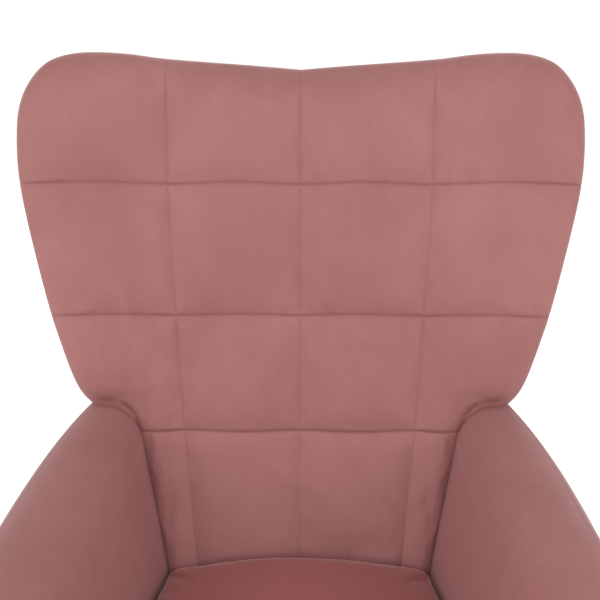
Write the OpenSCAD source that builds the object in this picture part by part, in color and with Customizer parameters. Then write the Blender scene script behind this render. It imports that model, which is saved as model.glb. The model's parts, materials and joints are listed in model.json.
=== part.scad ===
// Upholstered wing-back glider: a padded seat shell on a cradle that hangs from a wooden base by
// four swing arms. Millimetres. +Z is up, the chair faces -Y, and the origin is on the floor under
// the middle of the chair. Left and right are as seen from in front.

/* [Seat] */
// Height of the seat cushion's side edge above the floor
seat_h = 445; // [440:1:450]
// Half the seat's width between the arms, at the back
seat_half_w = 162; // [158:1:166]
// How fast the arms spread towards the front, sideways per millimetre forwards
arm_spread = 0.154; // [0.146:0.002:0.160]
// How far the cushion's middle stands above its sides
seat_crown = 24; // [16:1:28]

/* [Back] */
// Length of the back above the seat, measured along its slope
back_len = 620; // [605:1:630]
// Half the width across the wings
wing_half_w = 338; // [330:1:344]
// Lean of the back from the vertical, in degrees
back_tilt = 14; // [13:0.5:15]
// How far the wings' edges curve forwards
wing_wrap = 42; // [34:1:46]
// Thickness of the back from its front plane to its rear cover
back_t = 98; // [96:1:102]

/* [Arms] */
// Height of the arm's top above the floor, at the back
arm_top_rear = 646; // [640:1:648]
// Height of the arm's top above the floor, at the front
arm_top_front = 602; // [596:1:612]
// Thickness of the arm across its top
arm_t = 110; // [104:1:114]
// Outward lean of the arm's inner face above the seat, sideways per millimetre up
arm_lean = 0.235; // [0.225:0.005:0.245]

/* [Glider base] */
// Length of the floor rails
rail_len = 660; // [640:5:680]
// Distance between the upper and lower pivot of a swing arm
swing_len = 150; // [146:1:152]
// Distance between the front and rear swing arms
swing_gap = 300; // [296:2:304]
// Thickness of the wooden side frames
side_t = 32; // [28:1:34]
// Farthest that a swing arm turns either way from hanging straight down, in degrees
swing_max = 24; // [20:1:24]

/* [Hidden] */

$fn = 48;
EPS = 0.5;                           // how far a cutter runs past the face it cuts
SNUG = 0.3;                          // space between a soft piece and the wood that it covers
GAP = 2;                             // space between two upholstered pieces
FIT = 0.03;                          // running clearance on a pivot bolt's radius
OPEN_FIT = 0.08;                     // the same on the three lower pivots that close the linkage
ROOM = 0.3;                          // end clearance between pieces that turn past each other

WOOD = [0.80, 0.64, 0.45];
VELVET = [0.66, 0.45, 0.44];
CLOTH = [0.20, 0.19, 0.19];
RUBBER = [0.15, 0.15, 0.15];
STEEL = [0.72, 0.73, 0.75];

SIDES = [-1, 1];                     // left and right
ENDS = [-1, 1];                      // front and rear

// Levels, from the floor up
pad_t = 5;
floor_rail_h = 48;
rail_mid_z = pad_t + floor_rail_h / 2;
pivot_top_z = 229;
pivot_low_z = pivot_top_z - swing_len;
hanger_z = 204;
hanger_h = 52;
cradle_rail_h = 40;
bearer_z = 247;
cover_t = 1.2;
shell_z = 275;                       // underside of the upholstered shell
bearer_h = shell_z - cover_t - bearer_z;
frame_h = 85;
frame_top = shell_z + frame_h;
web_t = 2;
cushion_z = frame_top + 2 * web_t + 2;

// Places across the chair
side_x = 233;                        // inner face of a side frame
swing_x = 207;                       // inner face of a swing arm
swing_t = 18;
cradle_x = 171;                      // inner face of a cradle rail
cradle_t = 28;

// Places along the chair, those of the base being from its own middle
base_y = 10;
junction_y = 137;                    // where the back's front plane meets the seat's side edge
front_y = -381;
post_y = 205;
stretcher_y = 285;
cradle_post_y = 62;
cross_bar_y = 105;

pivot_r = 5;
bolt_r = 4;
bearing_r = 11;
stop_r = 9;
swing_w = 28;
bar_t = 22;                          // thickness of stretchers, cross bars and seat frame rails

// ---------------------------------------------------------------- shape functions

function clamp01(x) = max(0, min(1, x));
function ease(x) = let(t = clamp01(x)) t * t * (3 - 2 * t);

// A point between p1 and p2 on a smooth curve that also minds p0 and p3
function curve_at(p0, p1, p2, p3, t) =
    0.5 * (2 * p1 + (p2 - p0) * t + (2 * p0 - 5 * p1 + 4 * p2 - p3) * t * t
        + (3 * p1 - p0 - 3 * p2 + p3) * t * t * t);

// An open smooth curve through the points, with n steps between neighbours
function smooth_line(pts, n) = let(last = len(pts) - 1) concat(
    [for (i = [0:last - 1], k = [0:n - 1])
        curve_at(pts[max(i - 1, 0)], pts[i], pts[i + 1], pts[min(i + 2, last)], k / n)],
    [pts[last]]);

// A whole outline from its right half, whose first and last points are on the middle line
function mirrored(half) = concat(half, [for (i = [len(half) - 2:-1:1]) [-half[i][0], half[i][1]]]);

function arc(centre, r, a0, a1, n = 6) =
    [for (k = [0:n]) let(a = a0 + (a1 - a0) * k / n) centre + r * [cos(a), sin(a)]];

// A bar's outline, its lower edge on y = 0, with its upper and lower corners rounded
function bar_outline(l, h, r_top, r_low) = concat(
    arc([l / 2 - r_top, h - r_top], r_top, 0, 90), arc([r_top - l / 2, h - r_top], r_top, 90, 180),
    arc([r_low - l / 2, r_low], r_low, 180, 270), arc([l / 2 - r_low, r_low], r_low, 270, 360));

// A closed solid over a list of rings with equal counts, with a point to close each end.
// The rings run clockwise as seen from outside the first end.
module skin(first, rings, last) {
    n = len(rings[0]);
    m = len(rings);
    polyhedron(
        concat([first], [for (r = rings) each r], [last]),
        concat(
            [for (i = [0:n - 1]) [0, 1 + i, 1 + (i + 1) % n]],
            [for (k = [0:m - 2], i = [0:n - 1]) let(a = 1 + k * n, b = a + n, j = (i + 1) % n) each [
                [a + i, b + i, b + j], [a + i, b + j, a + j]]],
            [for (i = [0:n - 1]) [1 + (m - 1) * n + i, 1 + m * n, 1 + (m - 1) * n + (i + 1) % n]]),
        convexity = 6);
}

// Turns a flat outline of [along, up] into a solid of thickness t across the chair
module across(t) {
    rotate([90, 0, 90]) linear_extrude(t) children();
}

// A round bar across the chair, from x0 to x1, at the height z
module pin(x0, x1, y, z, r) {
    translate([x0, y, z]) rotate([0, 90, 0]) cylinder(r = r, h = x1 - x0);
}

module hex_pin(x0, x1, y, z, r) {
    translate([x0, y, z]) rotate([0, 90, 0]) cylinder(r = r, h = x1 - x0, $fn = 6);
}

module on_side(side) {
    mirror([side < 0 ? 1 : 0, 0, 0]) children();
}

// A low round bolt head with a hexagonal socket, standing on z = 0
module socket_head(r, h) {
    difference() {
        union() {
            cylinder(r = r, h = h * 0.4);
            translate([0, 0, h * 0.4]) cylinder(r1 = r, r2 = r * 0.72, h = h * 0.6);
        }
        translate([0, 0, h * 0.4]) cylinder(r = r * 0.38, h = h, $fn = 6);
    }
}

// ---------------------------------------------------------------- base

module at_base() {
    translate([0, base_y, 0]) children();
}

module floor_rail(side) {
    color(WOOD) at_base() on_side(side) difference() {
        translate([side_x, 0, pad_t]) across(side_t)
            polygon(bar_outline(rail_len, floor_rail_h, 30, 8));
        for (e = ENDS)
            pin(side_x - EPS, side_x + side_t + EPS, e * stretcher_y, rail_mid_z, bolt_r);
    }
}

module base_posts(side) {
    color(WOOD) at_base() on_side(side) for (e = ENDS)
        translate([side_x, e * post_y - 18, pad_t + floor_rail_h])
            cube([side_t, 36, hanger_z - pad_t - floor_rail_h]);
}

module hanger_rail(side) {
    color(WOOD) at_base() on_side(side) difference() {
        translate([side_x, 0, hanger_z]) across(side_t)
            polygon(bar_outline(2 * post_y + 40, hanger_h, 22, 2));
        for (e = ENDS) {
            pin(side_x - EPS, side_x + side_t + EPS, e * post_y, hanger_z + 20, bolt_r);
            pin(side_x - EPS, side_x + side_t + EPS, e * swing_gap / 2, pivot_top_z, pivot_r);
        }
    }
}

// A cross piece between the two side frames, bored at each end for its bolt and barrel nut
module stretcher(y, mid_z) {
    color(WOOD) at_base() difference() {
        translate([-side_x, y - bar_t / 2, mid_z - 16]) cube([2 * side_x, bar_t, 32]);
        for (s = SIDES) on_side(s) {
            pin(side_x - 45, side_x + EPS, y, mid_z, bolt_r);
            translate([side_x - 34, y, mid_z - 6]) cylinder(r = 6 + FIT, h = 22 + EPS);
        }
    }
}

// Calls its children at each stretcher's middle: [along, up]
module at_stretchers() {
    for (e = ENDS, p = [[stretcher_y, rail_mid_z], [post_y, hanger_z + 20]])
        translate([0, e * p[0], p[1]]) children();
}

module stretcher_bolts() {
    color(STEEL) at_base() at_stretchers() for (s = SIDES) on_side(s) {
        pin(side_x - 44, side_x + side_t, 0, 0, bolt_r);
        translate([side_x + side_t, 0, 0]) rotate([0, 90, 0]) socket_head(9, 4);
    }
}

module stretcher_barrel_nuts() {
    color(STEEL) at_base() at_stretchers() for (s = SIDES) on_side(s) difference() {
        translate([side_x - 34, 0, -6]) cylinder(r = 6, h = 20);
        pin(side_x - 45, side_x, 0, 0, bolt_r);
    }
}

module floor_pads() {
    color(RUBBER) at_base() for (s = SIDES, e = ENDS)
        translate([s * (side_x + side_t / 2), e * (rail_len / 2 - 50), 0]) cylinder(r = 13, h = pad_t);
}

// Rubber buffers on the posts, which the swing arms come up to at each end of their travel
stop_reach = 75;
stop_off = swing_w / 2 + stop_r + 0.6;
stop_y = swing_gap / 2 + stop_reach * sin(swing_max) + stop_off * cos(swing_max);
stop_z = pivot_top_z - stop_reach * cos(swing_max) + stop_off * sin(swing_max);

module swing_stops() {
    color(RUBBER) at_base() for (s = SIDES, e = ENDS)
        on_side(s) pin(swing_x - 2, side_x, e * stop_y, stop_z, stop_r);
}

module hanger_pivot_bolts() {
    color(STEEL) at_base() for (s = SIDES, e = ENDS) on_side(s) {
        pin(swing_x - 7, side_x + side_t, e * swing_gap / 2, pivot_top_z, pivot_r);
        translate([side_x + side_t, e * swing_gap / 2, pivot_top_z]) rotate([0, 90, 0])
            socket_head(11, 5);
    }
}

module hanger_pivot_nuts() {
    color(STEEL) at_base() for (s = SIDES, e = ENDS) on_side(s) difference() {
        hex_pin(swing_x - ROOM - 5.5, swing_x - ROOM, e * swing_gap / 2, pivot_top_z, 9);
        pin(swing_x - 10, swing_x, e * swing_gap / 2, pivot_top_z, pivot_r);
    }
}

module hanger_spacers() {
    color(STEEL) at_base() for (s = SIDES, e = ENDS) on_side(s) difference() {
        pin(swing_x + swing_t + ROOM, side_x, e * swing_gap / 2, pivot_top_z, 8);
        pin(swing_x + swing_t, side_x + EPS, e * swing_gap / 2, pivot_top_z, pivot_r);
    }
}

// ---------------------------------------------------------------- swing arms

module swing_arm(side, end) {
    y = end * swing_gap / 2;
    color(WOOD) at_base() on_side(side) difference() {
        union() {
            for (z = [pivot_low_z, pivot_top_z]) pin(swing_x, swing_x + swing_t, y, z, 17);
            translate([swing_x, y - swing_w / 2, pivot_low_z]) cube([swing_t, swing_w, swing_len]);
        }
        for (z = [pivot_low_z, pivot_top_z])
            pin(swing_x - EPS, swing_x + swing_t + EPS, y, z, bearing_r);
    }
}

// A sealed ball bearing: its seals lie a little below its rings' end faces
module bearing(fit) {
    rotate_extrude() difference() {
        translate([pivot_r + fit, 0]) square([bearing_r - pivot_r - fit, swing_t]);
        for (y = [-EPS, swing_t - 0.8]) translate([pivot_r + 1.8, y]) square([2.6, 0.8 + EPS]);
    }
}

module swing_bearings(side, end) {
    closing = !(side < 0 && end < 0);
    color(STEEL) at_base() on_side(side) for (z = [pivot_low_z, pivot_top_z])
        translate([swing_x, end * swing_gap / 2, z]) rotate([0, 90, 0])
            bearing(closing && z == pivot_low_z ? OPEN_FIT : FIT);
}

// ---------------------------------------------------------------- cradle

module cradle_rail(side) {
    color(WOOD) at_base() on_side(side) difference() {
        translate([cradle_x, 0, pivot_low_z - cradle_rail_h / 2]) across(cradle_t)
            polygon(bar_outline(swing_gap + 44, cradle_rail_h, 19, 19));
        for (e = ENDS)
            pin(cradle_x - EPS, cradle_x + cradle_t + EPS, e * swing_gap / 2, pivot_low_z, pivot_r);
    }
}

module cradle_posts(side) {
    low = pivot_low_z + cradle_rail_h / 2;
    color(WOOD) at_base() on_side(side) for (e = ENDS)
        translate([cradle_x, e * cradle_post_y - 20, low]) cube([cradle_t, 40, bearer_z - low]);
}

// Where the mounting bolts stand: on a bearer, under the middle of the seat frame's side rail
function rail_mid_x(y) = seat_half_w - SNUG - bar_t / 2 + (junction_y - y) * arm_spread;

module at_mounting_bolts() {
    for (s = SIDES, e = ENDS) let(y = base_y + e * cradle_post_y)
        translate([s * (rail_mid_x(y) - 1), y, 0]) children();
}

module cradle_bearer(end) {
    color(WOOD) difference() {
        at_base() translate([-cradle_x - cradle_t, end * cradle_post_y - 22, bearer_z])
            cube([2 * (cradle_x + cradle_t), 44, bearer_h]);
        at_mounting_bolts() translate([0, 0, bearer_z - EPS]) {
            cylinder(r = bolt_r + 0.2, h = bearer_h + 2 * EPS);
            cylinder(r = 9, h = 8 + EPS);
        }
    }
}

module cradle_cross_bars() {
    color(WOOD) at_base() for (e = ENDS)
        translate([-cradle_x, e * cross_bar_y - bar_t / 2, pivot_low_z - 15])
            cube([2 * cradle_x, bar_t, 30]);
}

module cradle_pivot_bolts() {
    color(STEEL) at_base() for (s = SIDES, e = ENDS) on_side(s) {
        pin(cradle_x, swing_x + swing_t + 6.2, e * swing_gap / 2, pivot_low_z, pivot_r);
        translate([cradle_x, e * swing_gap / 2, pivot_low_z]) rotate([0, -90, 0]) socket_head(11, 5);
    }
}

module cradle_pivot_nuts() {
    x = swing_x + swing_t + ROOM;
    color(STEEL) at_base() for (s = SIDES, e = ENDS) on_side(s) difference() {
        hex_pin(x, x + 5, e * swing_gap / 2, pivot_low_z, 9);
        pin(x - EPS, x + 6, e * swing_gap / 2, pivot_low_z, pivot_r);
    }
}

module cradle_spacers() {
    color(STEEL) at_base() for (s = SIDES, e = ENDS) on_side(s) difference() {
        pin(cradle_x + cradle_t, swing_x - ROOM, e * swing_gap / 2, pivot_low_z, 8);
        pin(cradle_x + cradle_t - EPS, swing_x, e * swing_gap / 2, pivot_low_z, pivot_r);
    }
}

insert_h = 24;
module cradle_mounting_bolts() {
    color(STEEL) at_mounting_bolts() {
        translate([0, 0, bearer_z + 8]) cylinder(r = bolt_r, h = shell_z + insert_h - bearer_z - 8);
        translate([0, 0, bearer_z + 8]) mirror([0, 0, 1]) socket_head(7.5, 5);
    }
}

// Threaded sleeves in the seat frame's side rails, which the mounting bolts screw into
module seat_inserts() {
    color(STEEL) at_mounting_bolts() translate([0, 0, shell_z]) difference() {
        cylinder(r = 6, h = insert_h);
        translate([0, 0, -EPS]) cylinder(r = bolt_r, h = insert_h + 2 * EPS);
    }
}

// ---------------------------------------------------------------- the back's own frame
// u runs across the back, v up its slope from the seat, and d out of its front plane

function back_to_chair(u, v, d) = [u,
    junction_y + v * sin(back_tilt) - d * cos(back_tilt),
    seat_h + v * cos(back_tilt) + d * sin(back_tilt)];

module in_back() {
    translate([0, junction_y, seat_h]) rotate([90 - back_tilt, 0, 0]) children();
}

// How far the shell curves forwards at u, v
function wrap_at(u, v) = wing_wrap * pow(min(abs(u) / wing_half_w, 1), 2.2) * ease((v - 60) / 240);

back_mid_v = 330;
back_foot_v = -70;
back_half = [
    [0, back_len - 20], [120, back_len - 11], [wing_half_w - 98, back_len],
    [wing_half_w - 40, back_len - 9], [wing_half_w - 10, back_len - 48], [wing_half_w, back_len - 100],
    [wing_half_w - 4, back_len - 160], [wing_half_w - 24, 372], [wing_half_w - 51, 275],
    [wing_half_w - 76, 215], [wing_half_w - 96, 197], [seat_half_w + 56, 183], [seat_half_w + 40, 150],
    [seat_half_w + 20, 70], [seat_half_w + 4, 0], [seat_half_w - 6, -50], [seat_half_w - 16, back_foot_v],
    [0, back_foot_v]];
back_outline = mirrored(smooth_line(back_half, 3));

// A ring of the back: the outline drawn in by the share s, at the depth d. The share w of the
// forward curve is added, and the outline's lower end is moved down by drop.
function back_ring(s, d, w, drop) = [for (p = back_outline) let(
        u = p[0] * s,
        v = back_mid_v + (p[1] - back_mid_v) * s - drop * ease((40 - p[1]) / (40 - back_foot_v)))
    back_to_chair(u, v, d + w * wrap_at(u, v))];

// A solid of the back's outline from a profile of [share, depth, share of the forward curve]
module back_solid(profile, drop = 0) {
    last = len(profile) - 1;
    skin(back_to_chair(0, back_mid_v, profile[0][1]),
        [for (k = [1:last - 1]) back_ring(profile[k][0], profile[k][1], profile[k][2], drop)],
        back_to_chair(0, back_mid_v, profile[last][1]));
}

panel_d = -54;                       // front face of the back panel
panel_t = 6;
post_d = panel_d - panel_t;          // front face of the back's posts
post_t = 27;
post_w = 42;
post_u = 108;
post_foot_v = -158;
post_len = 690;

pad_profile = [[0, 5, 1], [0.4, 5, 1], [0.7, 3, 1], [0.86, -1, 1], [0.94, -8, 1], [0.98, -20, 1],
    [1, -38, 1], [1, -64, 1], [0.985, -back_t + 12, 1], [0.955, -back_t, 1], [0.90, -back_t, 1],
    [0.90, panel_d + SNUG, 0], [0.5, panel_d + SNUG, 0], [0, panel_d + SNUG, 0]];
cover_profile = [[0, -back_t - SNUG, 1],
    for (share = [0.5, 0.7, 0.8, 0.87, 0.93]) [share, -back_t - SNUG, 1],
    [0.94, -back_t - 4, 1], [0.93, -back_t - 8, 1], [0.5, -back_t - 10, 1], [0, -back_t - 10, 1]];

// The arms with the space round them, run on behind the back
module arms_room() {
    for (s = SIDES) arm_solid(s, GAP, arm_rear + 60);
}

module back_pad() {
    color(VELVET) difference() {
        back_solid(pad_profile);
        arms_room();
        in_back() for (s = SIDES)
            translate([s * post_u - post_w / 2 - GAP, -120, -back_t - 10])
                cube([post_w + 2 * GAP, 160, back_t + 10 + post_d + GAP]);
    }
}

module back_cover() {
    color(VELVET) difference() {
        back_solid(cover_profile, 102);
        arms_room();
    }
}

module back_panel() {
    color(WOOD) difference() {
        in_back() translate([0, 0, post_d]) linear_extrude(panel_t)
            polygon([for (p = back_outline) [p[0] * 0.88, back_mid_v + (p[1] - back_mid_v) * 0.88]]);
        arms_room();
    }
}

module back_posts() {
    color(WOOD) difference() {
        in_back() for (s = SIDES)
            translate([s * post_u - post_w / 2, post_foot_v, post_d - post_t])
                cube([post_w, post_len, post_t]);
        at_back_bolts() cylinder(r = bolt_r + 0.2, h = post_t + EPS);
    }
}

module back_rails() {
    inner = post_u - post_w / 2;
    color(WOOD) for (v = [50, 270, 480]) in_back()
        translate([-inner, v, post_d - post_t]) cube([2 * inner, 50, post_t]);
}

// Calls its children at each bolt through a post's foot, on the post's rear face
module at_back_bolts() {
    for (s = SIDES, v = [-142, -108]) in_back()
        translate([s * post_u, v, post_d - post_t]) children();
}

module back_bolts() {
    color(STEEL) at_back_bolts() {
        mirror([0, 0, 1]) socket_head(8, 4);
        cylinder(r = bolt_r, h = post_t + bar_t + 8);
        translate([0, 0, post_t + bar_t]) difference() {
            cylinder(r = 7.5, h = 6.5, $fn = 6);
            translate([0, 0, -EPS]) cylinder(r = bolt_r, h = 8);
        }
    }
}

// ---------------------------------------------------------------- arms
// An arm's own frame: +X outwards from its inner face, +Y along it to the rear, +Z up

arm_turn = atan(arm_spread);
arm_front = -522;                    // front end, along the arm from the junction
arm_rear = 116;
arm_foot_t = 80;                     // thickness at the underside
arm_mid = [52, 445];
front_r = 26;
rear_r = 12;
front_rake = -0.06;
rear_rake = tan(back_tilt);

module on_arm(side) {
    on_side(side) translate([seat_half_w, junction_y, 0]) rotate([0, 0, arm_turn]) children();
}

// How far the arm has thinned at y, from none at 0 to all at 1
function arm_taper(y) = pow(clamp01((y + 240) / 293), 3);
function arm_top(y) = arm_top_front
    + (arm_top_rear - arm_top_front) * pow(clamp01((y - arm_front) / (60 - arm_front)), 1.6);
function arm_top_w(y) = arm_t - 37 * arm_taper(y) - 10 * ease((-240 - y) / 280);
function arm_foot_w(y) = arm_foot_t - 18 * arm_taper(y);
function arm_inner(z) = max(0, z - seat_h) * arm_lean;
function arm_rake(y) = front_rake + (rear_rake - front_rake) * ease((y - arm_front) / (arm_rear - arm_front));

// The closed section of the arm at y: [across, up] points
function arm_section(y) = let(
        w = arm_top_w(y),
        bulge = w * 0.54,
        shoulder = arm_top(y) - bulge,
        foot_w = arm_foot_w(y),
        mid = arm_inner(shoulder) + w / 2,
        levels = [shell_z + 6, 330, 390, seat_h, seat_h + 55],
        slope = (mid + w / 2 - foot_w) / (shoulder - shell_z))
    concat(
        [[foot_w - 8, shell_z], [6, shell_z]],
        [for (z = levels) [arm_inner(z), z]],
        [for (a = [180:-15:0]) let(c = cos(a), s = sin(a))
            [mid + w / 2 * sign(c) * pow(abs(c), 0.94), shoulder + bulge * pow(s, 0.94)]],
        [for (k = [4:-1:0]) [foot_w + slope * (levels[k] - shell_z), levels[k]]]);

// A ring of the arm at y, drawn in by e all round and raked
function arm_ring(y, e) = let(high = (arm_top(y) - shell_z) / 2) [for (p = arm_section(y)) [
    arm_mid[0] + (p[0] - arm_mid[0]) * (1 - 2 * e / arm_t),
    y + arm_rake(y) * (p[1] - arm_mid[1]),
    arm_mid[1] + (p[1] - arm_mid[1]) * (1 - e / high)]];

// The arm's solid, grown by grow all round and ending at rear_end
module arm_solid(side, grow = 0, rear_end = arm_rear) {
    tips = [12, 38, 64, 90];
    y0 = arm_front + front_r;
    y1 = rear_end - rear_r;
    rings = concat(
        [for (a = tips) arm_ring(y0 - front_r * cos(a), front_r * (1 - sin(a)) - grow)],
        [for (k = [1:8]) arm_ring(y0 + (y1 - y0) * k / 9, -grow)],
        [for (k = [3:-1:0]) arm_ring(y1 + rear_r * cos(tips[k]), rear_r * (1 - sin(tips[k])) - grow)]);
    on_arm(side) skin([arm_mid[0], arm_front, arm_mid[1]], rings, [arm_mid[0], rear_end, arm_mid[1]]);
}

board_t = 18;
board_lean = 0.12;                   // sideways per millimetre up
board_x = 40;                        // middle of the board at the shell's underside
board_y0 = -480;
board_l = 520;
cleat_y = [-420, -60];
cleat_l = 80;
cleat_z = [shell_z + 8, shell_z + 76];

module arm_board_solid(grow) {
    translate([board_x, board_y0 - grow, shell_z]) rotate([0, atan(board_lean), 0])
        translate([-board_t / 2 - grow, 0, 10 - grow])
            cube([board_t + 2 * grow, board_l + 2 * grow, 275 + 2 * grow]);
}

// Blocks that fill the space between the board and the seat frame's side rail
module arm_cleats(grow) {
    for (y = cleat_y) translate([0, y + cleat_l + grow, 0]) rotate([90, 0, 0])
        linear_extrude(cleat_l + 2 * grow) polygon([
            [-SNUG - (grow > 0 ? 1 : 0), cleat_z[0] - grow],
            [-SNUG - (grow > 0 ? 1 : 0), cleat_z[1] + grow],
            [board_inner(cleat_z[1]) + grow, cleat_z[1] + grow],
            [board_inner(cleat_z[0]) + grow, cleat_z[0] - grow]]);
}

function board_inner(z) = board_x - board_t / 2 / cos(atan(board_lean)) + (z - shell_z) * board_lean;

arm_bolt_z = 318;
arm_bolt_end = 62;
module at_arm_bolts() {
    for (y = cleat_y) translate([-SNUG - bar_t, y + cleat_l / 2, arm_bolt_z]) rotate([0, 90, 0]) children();
}

module arm_board(side) {
    color(WOOD) on_arm(side) difference() {
        union() {
            arm_board_solid(0);
            arm_cleats(0);
        }
        at_arm_bolts() cylinder(r = bolt_r, h = 100);
    }
}

module arm_pad(side) {
    color(VELVET) difference() {
        arm_solid(side);
        on_arm(side) {
            arm_board_solid(0.5);
            arm_cleats(0.5);
            at_arm_bolts() cylinder(r = bolt_r + 1, h = arm_bolt_end + bar_t);
        }
    }
}

module arm_bolts() {
    color(STEEL) for (s = SIDES) on_arm(s) at_arm_bolts() {
        cylinder(r = bolt_r, h = arm_bolt_end + bar_t - 2);
        mirror([0, 0, 1]) socket_head(8, 4);
    }
}

// ---------------------------------------------------------------- seat

frame_front_y = front_y + 56;        // rear face of the seat frame's front rail
cross_rail_y = [-52, 92];
function inner_x(y) = seat_half_w - (SNUG + bar_t) / cos(arm_turn) + (junction_y - y) * arm_spread;

// The space between the seat frame's side rails, from y0 to y1
module between_rails(y0, y1, h) {
    linear_extrude(h) polygon([[-inner_x(y0), y0], [inner_x(y0), y0], [inner_x(y1), y1], [-inner_x(y1), y1]]);
}

// The rear rail stands on the back's slope, against the posts' front faces
module rear_rail_solid() {
    in_back() translate([-300, post_foot_v, post_d]) cube([600, 84, bar_t]);
}

module behind_rear_rail() {
    in_back() translate([-300, -300, post_d - 200]) cube([600, 400, 200 + bar_t]);
}

module seat_frame_side(side) {
    color(WOOD) difference() {
        on_arm(side) translate([-SNUG - bar_t, -500, shell_z]) cube([bar_t, 560, frame_h]);
        behind_rear_rail();
        translate([-300, frame_front_y - 200, shell_z - EPS]) cube([600, 200, frame_h + 1]);
        at_mounting_bolts() translate([0, 0, shell_z - EPS]) cylinder(r = 6, h = insert_h + EPS);
        on_arm(side) at_arm_bolts() translate([0, 0, -EPS]) cylinder(r = bolt_r, h = bar_t + 2 * EPS);
    }
}

module seat_frame_front() {
    half = inner_x(frame_front_y) + bar_t / cos(arm_turn);
    color(WOOD) translate([-half, frame_front_y - bar_t, shell_z]) cube([2 * half, bar_t, frame_h]);
}

module seat_frame_rear() {
    color(WOOD) difference() {
        intersection() {
            rear_rail_solid();
            translate([-seat_half_w + 12, 0, shell_z + 0.5]) cube([2 * seat_half_w - 24, 400, 100]);
        }
        at_back_bolts() cylinder(r = bolt_r, h = post_t + bar_t + EPS);
    }
}

module seat_cross_rails() {
    color(WOOD) for (y = cross_rail_y)
        translate([0, 0, shell_z]) between_rails(y - bar_t / 2, y + bar_t / 2, frame_h);
}

module corner_blocks() {
    leg = 55;
    color(WOOD) for (s = SIDES, p = [[frame_front_y, 1], [cross_rail_y[1] - bar_t / 2, -1]])
        let(y = p[0], far = p[0] + leg * p[1]) on_side(s)
            translate([0, 0, shell_z + 15]) linear_extrude(50)
                polygon([[inner_x(y), y], [inner_x(y) - leg, y], [inner_x(far), far]]);
}

module webbing_crosswise() {
    color(CLOTH) for (y = [-290:68:60]) let(half = inner_x(y + 22) + 14)
        translate([-half, y - 22, frame_top]) cube([2 * half, 44, web_t]);
}

module webbing_lengthwise() {
    y0 = frame_front_y - bar_t + 4;
    color(CLOTH) for (x = [-100:50:100])
        translate([x - 20, y0, frame_top + web_t]) cube([40, cross_rail_y[1] + 8 - y0, web_t]);
}

function cushion_w(y) = seat_half_w - GAP + (junction_y - y) * arm_spread;
cushion_mid_y = -130;
cushion_rear = junction_y - 6;
cushion_half = [[0, cushion_rear], [100, cushion_rear], [cushion_w(cushion_rear) - 14, cushion_rear - 4],
    [cushion_w(100) - 1, 100], [cushion_w(0), 0], [cushion_w(-180), -180], [cushion_w(-320), -320],
    [cushion_w(-350) - 8, front_y + 26], [cushion_w(front_y) - 46, front_y + 4], [0, front_y]];
cushion_outline = mirrored(smooth_line(cushion_half, 3));
cushion_profile = [[0, 1], [0.3, 0.98], [0.55, 0.9], [0.75, 0.74], [0.88, 0.52], [0.95, 0.24],
    [0.985, -0.25], [1, -1], [1, -2.2], [0.985, -2.9]];

// A ring of the cushion: the outline drawn in by the share s, at the height z. Its rear edge
// follows the slope of the back.
function cushion_ring(s, z) = [for (p = cushion_outline) let(y = cushion_mid_y + (p[1] - cushion_mid_y) * s)
    [p[0] * s, y + (z - seat_h) * tan(back_tilt) * clamp01((y + 40) / 160), z]];

module seat_cushion() {
    rings = concat(
        [for (k = [1:len(cushion_profile) - 1]) let(c = cushion_profile[k])
            cushion_ring(c[0], seat_h + seat_crown * c[1])],
        [cushion_ring(0.95, cushion_z), cushion_ring(0.5, cushion_z)]);
    color(VELVET) skin([0, cushion_mid_y, seat_h + seat_crown], rings, [0, cushion_mid_y, cushion_z]);
}

// The padded strip that covers the seat frame's front rail
module front_apron() {
    y0 = front_y + 4;
    y1 = frame_front_y - bar_t - SNUG;
    half = cushion_w(y0) - 8;
    color(VELVET) hull() for (s = SIDES, z = [shell_z + 10, cushion_z - 12]) {
        translate([s * (half - 10), y0 + 10, z]) sphere(r = 10, $fn = 32);
        translate([s * (half - 4), y1 - 4, z]) rotate([90, 0, 0]) cylinder(r = 4, h = 4, $fn = 32);
    }
}

module dust_cover() {
    y0 = frame_front_y - bar_t + 4;
    y1 = junction_y - 10;
    x0 = inner_x(y0) + 14;
    x1 = inner_x(y1) + 14;
    color(CLOTH) difference() {
        translate([0, 0, shell_z - cover_t]) linear_extrude(cover_t)
            polygon([[-x0, y0], [x0, y0], [x1, y1], [-x1, y1]]);
        at_mounting_bolts() translate([0, 0, shell_z - 5]) cylinder(r = bolt_r + 0.5, h = 10);
    }
}

// ---------------------------------------------------------------- nodes

floor_rail(-1);  // floor_rail_left
floor_rail(1);  // floor_rail_right
base_posts(-1);  // base_posts_left
base_posts(1);  // base_posts_right
hanger_rail(-1);  // hanger_rail_left
hanger_rail(1);  // hanger_rail_right
stretcher(-stretcher_y, rail_mid_z);  // lower_stretcher_front
stretcher(stretcher_y, rail_mid_z);  // lower_stretcher_rear
stretcher(-post_y, hanger_z + 20);  // upper_stretcher_front
stretcher(post_y, hanger_z + 20);  // upper_stretcher_rear
floor_pads();
stretcher_bolts();
stretcher_barrel_nuts();
swing_stops();
hanger_pivot_bolts();
hanger_pivot_nuts();
hanger_spacers();
swing_arm(-1, -1);  // swing_arm_front_left
swing_arm(1, -1);  // swing_arm_front_right
swing_arm(-1, 1);  // swing_arm_rear_left
swing_arm(1, 1);  // swing_arm_rear_right
swing_bearings(-1, -1);  // swing_bearings_front_left
swing_bearings(1, -1);  // swing_bearings_front_right
swing_bearings(-1, 1);  // swing_bearings_rear_left
swing_bearings(1, 1);  // swing_bearings_rear_right
cradle_rail(-1);  // cradle_rail_left
cradle_rail(1);  // cradle_rail_right
cradle_posts(-1);  // cradle_posts_left
cradle_posts(1);  // cradle_posts_right
cradle_bearer(-1);  // cradle_bearer_front
cradle_bearer(1);  // cradle_bearer_rear
cradle_cross_bars();
cradle_pivot_bolts();
cradle_pivot_nuts();
cradle_spacers();
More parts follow.
